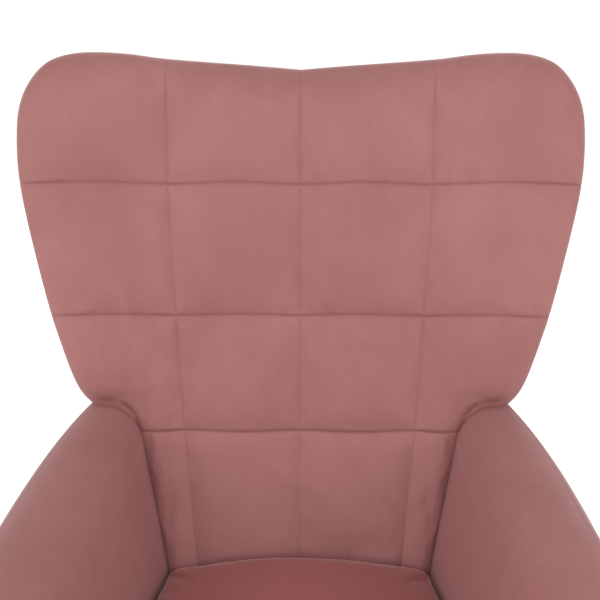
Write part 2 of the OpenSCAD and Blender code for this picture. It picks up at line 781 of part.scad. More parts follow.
cradle_mounting_bolts();
seat_inserts();
seat_frame_front();
seat_frame_rear();
seat_frame_side(-1);  // seat_frame_left
seat_frame_side(1);  // seat_frame_right
seat_cross_rails();
corner_blocks();
webbing_crosswise();
webbing_lengthwise();
seat_cushion();
front_apron();
dust_cover();
arm_board(-1);  // arm_board_left
arm_board(1);  // arm_board_right
arm_pad(-1);  // arm_pad_left
arm_pad(1);  // arm_pad_right
arm_bolts();
back_posts();
back_rails();
back_panel();
back_pad();
back_cover();
back_bolts();
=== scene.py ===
"""The looks of an upholstered wing-back glider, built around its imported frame.

Everything is in metres in the frame's own axes: +Z is up, the chair faces -Y, and left and right
are as seen from in front.
"""

import json
import logging
import math
from dataclasses import dataclass, field
from enum import Enum
from typing import Sequence

import bmesh
import bpy
import numpy as np
from mathutils import Matrix, Vector

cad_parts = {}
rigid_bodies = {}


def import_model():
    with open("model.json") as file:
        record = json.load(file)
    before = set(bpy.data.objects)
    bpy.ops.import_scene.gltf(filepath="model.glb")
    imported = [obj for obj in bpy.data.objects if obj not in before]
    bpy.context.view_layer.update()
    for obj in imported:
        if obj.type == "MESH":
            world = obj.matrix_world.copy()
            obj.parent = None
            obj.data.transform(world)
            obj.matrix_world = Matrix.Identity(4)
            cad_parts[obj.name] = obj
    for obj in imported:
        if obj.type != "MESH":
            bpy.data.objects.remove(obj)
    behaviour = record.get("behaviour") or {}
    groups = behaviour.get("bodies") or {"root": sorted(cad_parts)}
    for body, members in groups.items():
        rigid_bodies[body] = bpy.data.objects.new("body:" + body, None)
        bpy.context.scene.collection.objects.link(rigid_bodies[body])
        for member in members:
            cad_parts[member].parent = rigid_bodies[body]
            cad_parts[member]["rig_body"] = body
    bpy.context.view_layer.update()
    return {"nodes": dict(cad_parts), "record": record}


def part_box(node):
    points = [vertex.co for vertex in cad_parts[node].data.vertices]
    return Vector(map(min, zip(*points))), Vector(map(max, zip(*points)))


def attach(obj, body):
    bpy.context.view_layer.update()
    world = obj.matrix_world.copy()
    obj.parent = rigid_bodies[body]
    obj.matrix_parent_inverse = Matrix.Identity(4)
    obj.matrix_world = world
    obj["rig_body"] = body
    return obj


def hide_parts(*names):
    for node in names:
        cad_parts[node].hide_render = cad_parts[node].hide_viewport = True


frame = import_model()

MM = 0.001
log = logging.getLogger("glider")

Point = tuple[float, float]
Place = tuple[float, float, float]


class Side(Enum):
    """Which side of the chair a piece is on, as the sign of its X."""

    LEFT = -1
    RIGHT = 1


# ---------------------------------------------------------------- shared maths


def clamp01(x: np.ndarray | float) -> np.ndarray | float:
    """Returns x held between 0 and 1."""
    return np.clip(x, 0.0, 1.0)


def ease(x: np.ndarray | float) -> np.ndarray | float:
    """Returns a smooth step from 0 at x = 0 to 1 at x = 1."""
    t = clamp01(x)
    return t * t * (3 - 2 * t)


def smooth_line(points: Sequence[Point], steps: int) -> np.ndarray:
    """Draws an open smooth curve through points.

    Args:
        points: The points to pass through, in order.
        steps: How many stretches lie between two neighbours.

    Returns:
        The curve's points, one per row.
    """
    p = np.array(points, float)
    p = np.vstack([2 * p[0] - p[1], p, 2 * p[-1] - p[-2]])
    out = []
    for i in range(1, len(p) - 2):
        for k in range(steps):
            t = k / steps
            a, b, c, d = p[i - 1], p[i], p[i + 1], p[i + 2]
            out.append(0.5 * (2 * b + (c - a) * t + (2 * a - 5 * b + 4 * c - d) * t**2
                              + (3 * b - a - 3 * c + d) * t**3))
    out.append(p[-2])
    return np.array(out)


def along(line: np.ndarray, shares: np.ndarray) -> np.ndarray:
    """Returns the points at the given shares of a line's length."""
    lengths = np.concatenate([[0], np.cumsum(np.linalg.norm(np.diff(line, axis=0), axis=1))])
    at = np.asarray(shares) * lengths[-1]
    return np.stack([np.interp(at, lengths, line[:, k]) for k in range(line.shape[1])], -1)


def distance_to_line(points: np.ndarray, line: np.ndarray) -> np.ndarray:
    """Measures how far each point is from a flat line.

    Args:
        points: Flat points, one per row.
        line: The line's points, one per row.

    Returns:
        One distance per point.
    """
    a, ab = line[:-1], np.diff(line, axis=0)
    best = np.full(len(points), np.inf)
    for start, step in zip(a, ab):
        t = clamp01(((points - start) @ step) / (step @ step + 1e-12))
        best = np.minimum(best, np.linalg.norm(points - start - t[:, None] * step, axis=1))
    return best


def clustered(count: int, crowd: float) -> np.ndarray:
    """Returns count + 1 shares from 0 to 1 that crowd towards both ends by crowd, from 0 to 1."""
    t = np.linspace(0, 1, count + 1)
    return (1 - crowd) * t + crowd * (1 - np.cos(np.pi * t)) / 2


# ---------------------------------------------------------------- shared mesh tools


def new_object(name: str, bm: bmesh.types.BMesh) -> bpy.types.Object:
    """Turns a bmesh into a smooth-shaded object at the origin.

    Args:
        name: The object's name.
        bm: The mesh, which is freed.

    Returns:
        The new object, linked to the scene.
    """
    mesh = bpy.data.meshes.new(name)
    bm.to_mesh(mesh)
    bm.free()
    for face in mesh.polygons:
        face.use_smooth = True
    obj = bpy.data.objects.new(name, mesh)
    bpy.context.scene.collection.objects.link(obj)
    return obj


def coordinates(obj: bpy.types.Object) -> np.ndarray:
    """Returns an object's vertices, one per row."""
    co = np.empty(len(obj.data.vertices) * 3)
    obj.data.vertices.foreach_get("co", co)
    return co.reshape(-1, 3)


def set_coordinates(obj: bpy.types.Object, co: np.ndarray) -> None:
    """Moves an object's vertices."""
    obj.data.vertices.foreach_set("co", co.ravel())
    obj.data.update()


def subdivide(obj: bpy.types.Object) -> None:
    """Smooths an object by one subdivision, for good."""
    mod = obj.modifiers.new("smooth", "SUBSURF")
    mod.levels = mod.render_levels = 1
    graph = bpy.context.evaluated_depsgraph_get()
    mesh = bpy.data.meshes.new_from_object(obj.evaluated_get(graph), preserve_all_data_layers=True,
                                           depsgraph=graph)
    obj.modifiers.clear()
    old, obj.data = obj.data, mesh
    bpy.data.meshes.remove(old)


def extrude_ring(bm: bmesh.types.BMesh, ring: list[bmesh.types.BMVert]) -> list[bmesh.types.BMVert]:
    """Extrudes a closed ring of vertices.

    Args:
        bm: The mesh.
        ring: The ring's vertices in order, with an edge between neighbours.

    Returns:
        The new ring's vertices, in the same order.
    """
    edges = [bm.edges.get((v, w)) for v, w in zip(ring, ring[1:] + ring[:1])]
    made = bmesh.ops.extrude_edge_only(bm, edges=edges)["geom"]
    fresh = {v for v in made if isinstance(v, bmesh.types.BMVert)}
    return [next(e.other_vert(v) for e in v.link_edges if e.other_vert(v) in fresh) for v in ring]


def close_ring(bm: bmesh.types.BMesh, ring: list[bmesh.types.BMVert]) -> None:
    """Closes a ring with a strip of faces across it."""
    half = len(ring) // 2
    edges = [bm.edges.get(pair) for side in (ring[:half], ring[half:]) for pair in zip(side, side[1:])]
    bmesh.ops.bridge_loops(bm, edges=edges)


def place_ring(ring: Sequence[bmesh.types.BMVert], points: np.ndarray) -> None:
    """Moves a ring's vertices to points."""
    for vert, point in zip(ring, points):
        vert.co = point


def in_order(bm: bmesh.types.BMesh) -> bmesh.types.BMesh:
    """Remakes a mesh with its faces in a fixed order, so that it settles alike in every run.

    Args:
        bm: The mesh, which is freed.

    Returns:
        The same shape, with its vertices in the same order.
    """
    bm.verts.index_update()
    loops = [[vert.index for vert in face.verts] for face in bm.faces]
    starts = [loop.index(min(loop)) for loop in loops]
    ordered = bmesh.new()
    verts = [ordered.verts.new(vert.co) for vert in bm.verts]
    for loop in sorted(loop[k:] + loop[:k] for loop, k in zip(loops, starts)):
        ordered.faces.new([verts[index] for index in loop])
    ordered.verts.index_update()
    bm.free()
    return ordered


def loft(rings: Sequence[np.ndarray]) -> bmesh.types.BMesh:
    """Makes a closed shell through rings with equal counts.

    Args:
        rings: Each ring's points, one per row, in the same order all the way.

    Returns:
        The shell, with its normals outwards.
    """
    bm = bmesh.new()
    ring = bmesh.ops.create_circle(bm, cap_ends=False, radius=1.0, segments=len(rings[0]))["verts"]
    place_ring(ring, rings[0])
    close_ring(bm, ring)
    for points in rings[1:]:
        ring = extrude_ring(bm, ring)
        place_ring(ring, points)
    close_ring(bm, ring)
    bmesh.ops.recalc_face_normals(bm, faces=bm.faces)
    return in_order(bm)


def welt(line: np.ndarray, radius: float, sides: int = 8) -> bmesh.types.BMesh:
    """Makes a round bead along a closed line.

    Args:
        line: The line's points in space, one per row.
        radius: The bead's radius.
        sides: How many sides the bead has.

    Returns:
        The bead.
    """
    step = np.roll(line, -1, axis=0) - np.roll(line, 1, axis=0)
    step /= np.linalg.norm(step, axis=1, keepdims=True)
    up = np.cross(step[0], [0.3, 0.2, 0.93])
    angles = np.arange(sides) / sides * 2 * np.pi
    bm = bmesh.new()
    first = ring = bmesh.ops.create_circle(bm, cap_ends=False, radius=1.0, segments=sides)["verts"]
    for i, (point, ahead) in enumerate(zip(line, step)):
        up = up - ahead * (up @ ahead)
        up /= np.linalg.norm(up)
        side = np.cross(ahead, up)
        if i:
            ring = extrude_ring(bm, ring)
        place_ring(ring, point + radius * (np.cos(angles)[:, None] * up + np.sin(angles)[:, None] * side))
    ends = [bm.edges.get(pair) for end in (first, ring) for pair in zip(end, [*end[1:], end[0]])]
    bmesh.ops.bridge_loops(bm, edges=ends)
    bmesh.ops.recalc_face_normals(bm, faces=bm.faces)
    return bm


@dataclass
class ClothSettings:
    """How a padded shell is settled by cloth simulation.

    Attributes:
        pressure: Push of the filling from inside.
        spare: How much longer the cover is than its shape, as a share.
        frames: How many frames it settles for.
        cap: The farthest that a point may move, in metres.
        bending: How stiffly the cover resists folding.
    """

    pressure: float = 4.0
    spare: float = 0.02
    frames: int = 20
    cap: float = 0.008
    bending: float = 0.3


def settle(obj: bpy.types.Object, held: np.ndarray, how: ClothSettings) -> None:
    """Inflates a padded shell between the points that hold it.

    Args:
        obj: The shell. Its mesh is changed for good.
        held: How firmly each vertex is held, from 0, free, to 1, fixed.
        how: The simulation's settings.
    """
    before = coordinates(obj)
    group = obj.vertex_groups.new(name="held")
    for index in np.nonzero(held > 0.01)[0]:
        group.add([int(index)], float(held[index]), "REPLACE")
    mod = obj.modifiers.new("cloth", "CLOTH")
    cloth = mod.settings
    cloth.quality = 5
    cloth.mass = 0.3
    cloth.tension_stiffness = cloth.compression_stiffness = 15
    cloth.shear_stiffness = 8
    cloth.bending_stiffness = how.bending
    cloth.use_pressure = True
    cloth.uniform_pressure_force = how.pressure
    cloth.shrink_min = -how.spare
    cloth.vertex_group_mass = "held"
    cloth.effector_weights.gravity = 0
    mod.collision_settings.use_self_collision = False
    mod.point_cache.frame_start, mod.point_cache.frame_end = 1, how.frames
    scene = bpy.context.scene
    for number in range(1, how.frames + 1):
        scene.frame_set(number)
    shape = obj.evaluated_get(bpy.context.evaluated_depsgraph_get())
    after = np.empty(len(before) * 3)
    shape.data.vertices.foreach_get("co", after)
    after = after.reshape(-1, 3)
    obj.modifiers.clear()
    obj.vertex_groups.clear()
    scene.frame_set(1)
    move = np.nan_to_num(after - before)
    length = np.linalg.norm(move, axis=1, keepdims=True)
    move *= how.cap * np.tanh(length / how.cap) / np.maximum(length, 1e-9)
    set_coordinates(obj, before + move)
    log.info("settled %s, %.1f mm at most", obj.name, 1000 * np.linalg.norm(move, axis=1).max())


def mark(obj: bpy.types.Object, name: str, values: np.ndarray) -> None:
    """Stores one number per vertex, which a material can read."""
    layer = obj.data.attributes.new(name, "FLOAT", "POINT")
    layer.data.foreach_set("value", values.astype(np.float32))


# ---------------------------------------------------------------- finishes


def linear(hex_colour: str) -> tuple[float, float, float, float]:
    """Turns an sRGB hex colour into linear light."""
    channels = [int(hex_colour[i:i + 2], 16) / 255 for i in (1, 3, 5)]
    return (*[c / 12.92 if c <= 0.04045 else ((c + 0.055) / 1.055) ** 2.4 for c in channels], 1.0)


def add(tree: bpy.types.NodeTree, kind: str, values: dict | None = None, **settings) -> bpy.types.Node:
    """Adds a node to a material.

    Args:
        tree: The material's node tree.
        kind: The node's type.
        values: Each input's name or number, and its value or the output that feeds it.
        settings: The node's own properties.

    Returns:
        The node.
    """
    node = tree.nodes.new(kind)
    for name, value in settings.items():
        setattr(node, name, value)
    for key, value in (values or {}).items():
        if isinstance(value, bpy.types.NodeSocket):
            tree.links.new(value, node.inputs[key])
        else:
            node.inputs[key].default_value = value
    return node


def ramp(tree: bpy.types.NodeTree, source: bpy.types.NodeSocket,
         stops: Sequence[tuple[float, str]]) -> bpy.types.NodeSocket:
    """Turns a number into a colour.

    Args:
        tree: The material's node tree.
        source: The number.
        stops: Where each sRGB hex colour stands, from 0 to 1.

    Returns:
        The colour.
    """
    node = add(tree, "ShaderNodeValToRGB", {"Fac": source})
    while len(node.color_ramp.elements) < len(stops):
        node.color_ramp.elements.new(0.5)
    for element, (at, colour) in zip(node.color_ramp.elements, stops):
        element.position = at
        element.color = linear(colour)
    return node.outputs["Color"]


def new_material(name: str) -> tuple[bpy.types.Material, bpy.types.NodeTree, bpy.types.Node,
                                     bpy.types.NodeSocket]:
    """Starts a material.

    Args:
        name: The material's name.

    Returns:
        The material, its tree, its shader and the object coordinates in metres.
    """
    material = bpy.data.materials.new(name)
    material.use_nodes = True
    tree = material.node_tree
    shader = tree.nodes["Principled BSDF"]
    return material, tree, shader, add(tree, "ShaderNodeTexCoord").outputs["Object"]


@dataclass(frozen=True)
class Velvet:
    """Polyester velvet with a short cut pile, over foam.

    Its pile leans, so it shows soft lighter and darker patches. A darker, deeper colour is painted
    on as shade on the seat's top and the arms' inner faces, and painted shade darkens the back's
    grooves, creases and its fold against the arms; a dark seam line runs along each arm. It has
    a pale sheen where the surface turns away.

    Attributes:
        name: The material's name.
        dark: Its darker patches.
        middle: Its ground colour.
        light: Its lighter patches.
        face_shade_colour: Painted shade on the seat's top and the arms' inner faces.
        seam: Painted shade in the back's grooves, creases and arm folds, and the arms' dark seam line.
        sheen: The pale bloom at a turned edge.
        sheen_weight: The strength of that bloom.
        patch_mm: Size of a brushed patch.
        stroke_mm: Width of a brush stroke.
        pile_mm: Size of a tuft, several times the real one so that it shows.
    """

    name: str = "dusty_rose_velvet"
    dark: str = "#8F605E"
    middle: str = "#946462"
    light: str = "#996967"
    # Painted shade for the faces turned away from the light.
    face_shade_colour: str = "#945654"
    # Painted shade for grooves and folds, and the colour of the arms' dark seam line.
    seam: str = "#6A403E"
    sheen: str = "#F4DEDB"
    sheen_weight: float = 0.45
    patch_mm: float = 130.0
    stroke_mm: float = 15.6
    pile_mm: float = 0.9

    def make(self) -> bpy.types.Material:
        """Builds the material."""
        material, tree, shader, place = new_material(self.name)
        patches = add(tree, "ShaderNodeTexNoise", {
            "Vector": place, "Scale": 1000 / self.patch_mm, "Detail": 3.0, "Roughness": 0.55,
            "Distortion": 0.6})
        brushed = add(tree, "ShaderNodeMapping", {"Vector": place, "Scale": (1.0, 1.0, 0.35)})
        strokes = add(tree, "ShaderNodeTexNoise", {
            "Vector": brushed.outputs[0], "Scale": 1000 / self.stroke_mm, "Detail": 4.0})
        nap = add(tree, "ShaderNodeMath", {0: strokes.outputs["Fac"], 1: 0.3}, operation="MULTIPLY")
        both = add(tree, "ShaderNodeMath", {
            0: patches.outputs["Fac"], 1: 0.7, 2: nap.outputs[0]}, operation="MULTIPLY_ADD")
        cloth = ramp(tree, both.outputs[0], [(0.32, self.dark), (0.5, self.middle), (0.68, self.light)])
        # Painted shade: a darker, deeper colour on the seat's top and the arms' inner faces.
        face_shade = add(tree, "ShaderNodeAttribute", attribute_name="face_shade")
        colour = add(tree, "ShaderNodeMix", {
            "Factor": face_shade.outputs["Fac"], 6: cloth, 7: linear(self.face_shade_colour)}, data_type="RGBA")
        # Painted shade in the back's grooves, creases and arm folds, and the arms' dark seam line.
        seam = add(tree, "ShaderNodeAttribute", attribute_name="seam")
        colour = add(tree, "ShaderNodeMix", {
            "Factor": seam.outputs["Fac"], 6: colour.outputs[2], 7: linear(self.seam)}, data_type="RGBA")
        pile = add(tree, "ShaderNodeTexNoise", {
            "Vector": place, "Scale": 1000 / self.pile_mm, "Detail": 2.0, "Roughness": 0.7})
        bump = add(tree, "ShaderNodeBump", {
            "Height": pile.outputs["Fac"], "Strength": 0.35, "Distance": 0.0004})
        bump = add(tree, "ShaderNodeBump", {
            "Height": strokes.outputs["Fac"], "Strength": 0.04, "Distance": 0.002,
            "Normal": bump.outputs[0]})
        rough = add(tree, "ShaderNodeMapRange", {
            "Value": patches.outputs["Fac"], "To Min": 0.82, "To Max": 0.96})
        tree.links.new(colour.outputs[2], shader.inputs["Base Color"])
        tree.links.new(rough.outputs[0], shader.inputs["Roughness"])
        tree.links.new(bump.outputs[0], shader.inputs["Normal"])
        shader.inputs["IOR"].default_value = 1.46
        shader.inputs["Specular IOR Level"].default_value = 0.15
        shader.inputs["Sheen Weight"].default_value = self.sheen_weight
        shader.inputs["Sheen Roughness"].default_value = 0.28
        shader.inputs["Sheen Tint"].default_value = linear(self.sheen)
        return material


class Grain(Enum):
    """The axis that a piece of timber's grain runs along, as the pattern's scales."""

    X = (0.06, 1.0, 1.0)
    Y = (1.0, 0.06, 1.0)
    Z = (1.0, 1.0, 0.06)


@dataclass(frozen=True)
class Timber:
    """Planed wood: fine growth rings drawn out along the grain, with short darker flecks.

    Attributes:
        name: The material's name, to which the grain's direction is added.
        light: The early wood.
        dark: The late wood.
        fleck: The flecks.
        ring_mm: Distance between growth rings.
        roughness: Its mean roughness.
    """

    name: str
    light: str
    dark: str
    fleck: str
    ring_mm: float
    roughness: float

    def make(self, grain: Grain) -> bpy.types.Material:
        """Builds the material for one direction of the grain."""
        material, tree, shader, place = new_material(f"{self.name}_{grain.name.lower()}")
        drawn = add(tree, "ShaderNodeMapping", {"Vector": place, "Scale": grain.value})
        warp = add(tree, "ShaderNodeTexNoise", {
            "Vector": drawn.outputs[0], "Scale": 1000 / (self.ring_mm * 9), "Detail": 2.0})
        rings = add(tree, "ShaderNodeTexNoise", {
            "Vector": drawn.outputs[0], "Scale": 1000 / self.ring_mm, "Detail": 4.0,
            "Distortion": 0.9})
        mixed = add(tree, "ShaderNodeMath", {
            0: rings.outputs["Fac"], 1: 0.6, 2: warp.outputs["Fac"]}, operation="MULTIPLY_ADD")
        wood = ramp(tree, mixed.outputs[0], [(0.55, self.dark), (0.95, self.light)])
        flecks = add(tree, "ShaderNodeTexVoronoi", {
            "Vector": drawn.outputs[0], "Scale": 1000 / (self.ring_mm * 0.55)}, feature="F1")
        spots = add(tree, "ShaderNodeMapRange", {
            "Value": flecks.outputs["Distance"], "From Min": 0.05, "From Max": 0.22,
            "To Min": 0.35, "To Max": 0.0})
        colour = add(tree, "ShaderNodeMix", {
            "Factor": spots.outputs[0], 6: wood, 7: linear(self.fleck)}, data_type="RGBA")
        rough = add(tree, "ShaderNodeMapRange", {
            "Value": rings.outputs["Fac"], "To Min": self.roughness - 0.07,
            "To Max": self.roughness + 0.09})
        bump = add(tree, "ShaderNodeBump", {
            "Height": rings.outputs["Fac"], "Strength": 0.25, "Distance": 0.0003})
        tree.links.new(colour.outputs[2], shader.inputs["Base Color"])
        tree.links.new(rough.outputs[0], shader.inputs["Roughness"])
        tree.links.new(bump.outputs[0], shader.inputs["Normal"])
        return material


@dataclass(frozen=True)
class PlatedSteel:
    """Zinc-plated or ground steel, with fine wear that breaks up its reflections.

    Attributes:
        name: The material's name.
        light: Its bright areas.
        dark: Its duller areas.
        roughness: Its mean roughness.
        wear_mm: Size of a dull area.
    """

    name: str
    light: str
    dark: str
    roughness: float
    wear_mm: float = 4.55

    def make(self) -> bpy.types.Material:
        """Builds the material."""
        material, tree, shader, place = new_material(self.name)
        blotch = add(tree, "ShaderNodeTexNoise", {
            "Vector": place, "Scale": 1000 / self.wear_mm, "Detail": 5.0})
        colour = ramp(tree, blotch.outputs["Fac"], [(0.35, self.dark), (0.7, self.light)])
        rough = add(tree, "ShaderNodeMapRange", {
            "Value": blotch.outputs["Fac"], "To Min": self.roughness - 0.08,
            "To Max": self.roughness + 0.12})
        bump = add(tree, "ShaderNodeBump", {
            "Height": blotch.outputs["Fac"], "Strength": 0.15, "Distance": 0.0001})
        tree.links.new(colour, shader.inputs["Base Color"])
        tree.links.new(rough.outputs[0], shader.inputs["Roughness"])
        tree.links.new(bump.outputs[0], shader.inputs["Normal"])
        shader.inputs["Metallic"].default_value = 1.0
        return material


@dataclass(frozen=True)
class Woven:
    """Plain woven cloth: crossing threads that shade each other, with a little fuzz.

    Attributes:
        name: The material's name.
        light: The tops of the threads.
        dark: The gaps between them.
        thread_mm: Width of a thread.
        fuzz_mm: Size of the fuzz.
        roughness: Its roughness.
    """

    name: str
    light: str
    dark: str
    thread_mm: float
    fuzz_mm: float = 1.11
    roughness: float = 0.85

    def make(self) -> bpy.types.Material:
        """Builds the material."""
        material, tree, shader, place = new_material(self.name)
        scale = 1000 / self.thread_mm / (2 * math.pi)
        threads = [
            add(tree, "ShaderNodeTexWave", {
                "Vector": place, "Scale": scale, "Distortion": 0.4}, bands_direction=axis)
            for axis in ("X", "Y")]
        weave = add(tree, "ShaderNodeMath", {
            0: threads[0].outputs["Fac"], 1: threads[1].outputs["Fac"]}, operation="MAXIMUM")
        fuzz = add(tree, "ShaderNodeTexNoise", {
            "Vector": place, "Scale": 1000 / self.fuzz_mm, "Detail": 3.0})
        mixed = add(tree, "ShaderNodeMath", {
            0: fuzz.outputs["Fac"], 1: 0.5, 2: weave.outputs[0]}, operation="MULTIPLY_ADD")
        colour = ramp(tree, mixed.outputs[0], [(0.4, self.dark), (1.0, self.light)])
        bump = add(tree, "ShaderNodeBump", {
            "Height": mixed.outputs[0], "Strength": 0.5, "Distance": 0.0004})
        tree.links.new(colour, shader.inputs["Base Color"])
        tree.links.new(bump.outputs[0], shader.inputs["Normal"])
        shader.inputs["Roughness"].default_value = self.roughness
        return material


@dataclass(frozen=True)
class MouldedRubber:
    """Moulded rubber: nearly black, matt, with a faint bloom and a fine grit from its mould.

    Attributes:
        name: The material's name.
        dark: Its body.
        bloom: Its dusty areas.
        bloom_mm: Size of a dusty area.
        grit_mm: Size of the grit.
    """

    name: str = "moulded_rubber"
    dark: str = "#161616"
    bloom: str = "#2A2A29"
    bloom_mm: float = 6.25
    grit_mm: float = 0.556

    def make(self) -> bpy.types.Material:
        """Builds the material."""
        material, tree, shader, place = new_material(self.name)
        dust = add(tree, "ShaderNodeTexNoise", {
            "Vector": place, "Scale": 1000 / self.bloom_mm, "Detail": 6.0})
        colour = ramp(tree, dust.outputs["Fac"], [(0.4, self.dark), (0.75, self.bloom)])
        grit = add(tree, "ShaderNodeTexNoise", {"Vector": place, "Scale": 1000 / self.grit_mm})
        bump = add(tree, "ShaderNodeBump", {
            "Height": grit.outputs["Fac"], "Strength": 0.3, "Distance": 0.0002})
        tree.links.new(colour, shader.inputs["Base Color"])
        tree.links.new(bump.outputs[0], shader.inputs["Normal"])
        shader.inputs["Roughness"].default_value = 0.72
        return material


# ---------------------------------------------------------------- the upholstered shell's shape


@dataclass
class ShellShape:
    """The driving sizes of the upholstered shell, in metres, and the frames of its parts.

    Attributes:
        seat_h: Height of the cushion's side edge.
        junction_y: Where the back's front plane meets that height.
        tilt: Lean of the back from the vertical, in radians.
        seat_half_w: Half the seat's width between the arms, at the back.
        arm_spread: How fast the arms spread towards the front.
        arm_lean: Outward lean of the arm's inner face above the seat.
        wing_half_w: Half the width across the wings.
        wrap: How far the wings' edges curve forwards.
        wrap_start: Height up the back's slope at which they start to.
        wrap_rise: The further height over which they reach it in full.
        base_z: The underside of the shell.
    """

    seat_h: float = 0.445
    junction_y: float = 0.137
    tilt: float = math.radians(14)
    seat_half_w: float = 0.162
    arm_spread: float = 0.154
    arm_lean: float = 0.235
    wing_half_w: float = 0.338
    wrap: float = 0.042
    wrap_start: float = 0.060
    wrap_rise: float = 0.240
    base_z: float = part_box("dust_cover")[1].z

    def wing_curve(self, u: np.ndarray, v: np.ndarray) -> np.ndarray:
        """Returns how far the wings bring each point of the back forwards."""
        share = np.minimum(np.abs(u) / self.wing_half_w, 1.0) ** 2.2
        return self.wrap * share * ease((v - self.wrap_start) / self.wrap_rise)

    def on_back(self, flat: np.ndarray, depth: np.ndarray | float) -> np.ndarray:
        """Places points of the back.

        Args:
            flat: Points across the back and up its slope, one per row.
            depth: How far each is out of the front plane.

        Returns:
            The points in the chair's own axes.
        """
        u, v = flat[:, 0], flat[:, 1]
        d = depth + self.wing_curve(u, v)
        sin, cos = math.sin(self.tilt), math.cos(self.tilt)
        return np.stack([u, self.junction_y + v * sin - d * cos, self.seat_h + v * cos + d * sin], -1)

    def on_arm(self, side: Side, points: np.ndarray) -> np.ndarray:
        """Places points of an arm.

        Args:
            side: Which arm.
            points: Points outwards from the inner face, along the arm to the rear, and up.

        Returns:
            The points in the chair's own axes.
        """
        turn = math.atan(self.arm_spread)
        x, y, z = points[:, 0], points[:, 1], points[:, 2]
        across = self.seat_half_w + x * math.cos(turn) - y * math.sin(turn)
        return np.stack([side.value * across,
                         self.junction_y + x * math.sin(turn) + y * math.cos(turn), z], -1)

    def half_width(self, y: np.ndarray | float) -> np.ndarray | float:
        """Returns half the seat's width between the arms at y."""
        return self.seat_half_w + (self.junction_y - y) * self.arm_spread


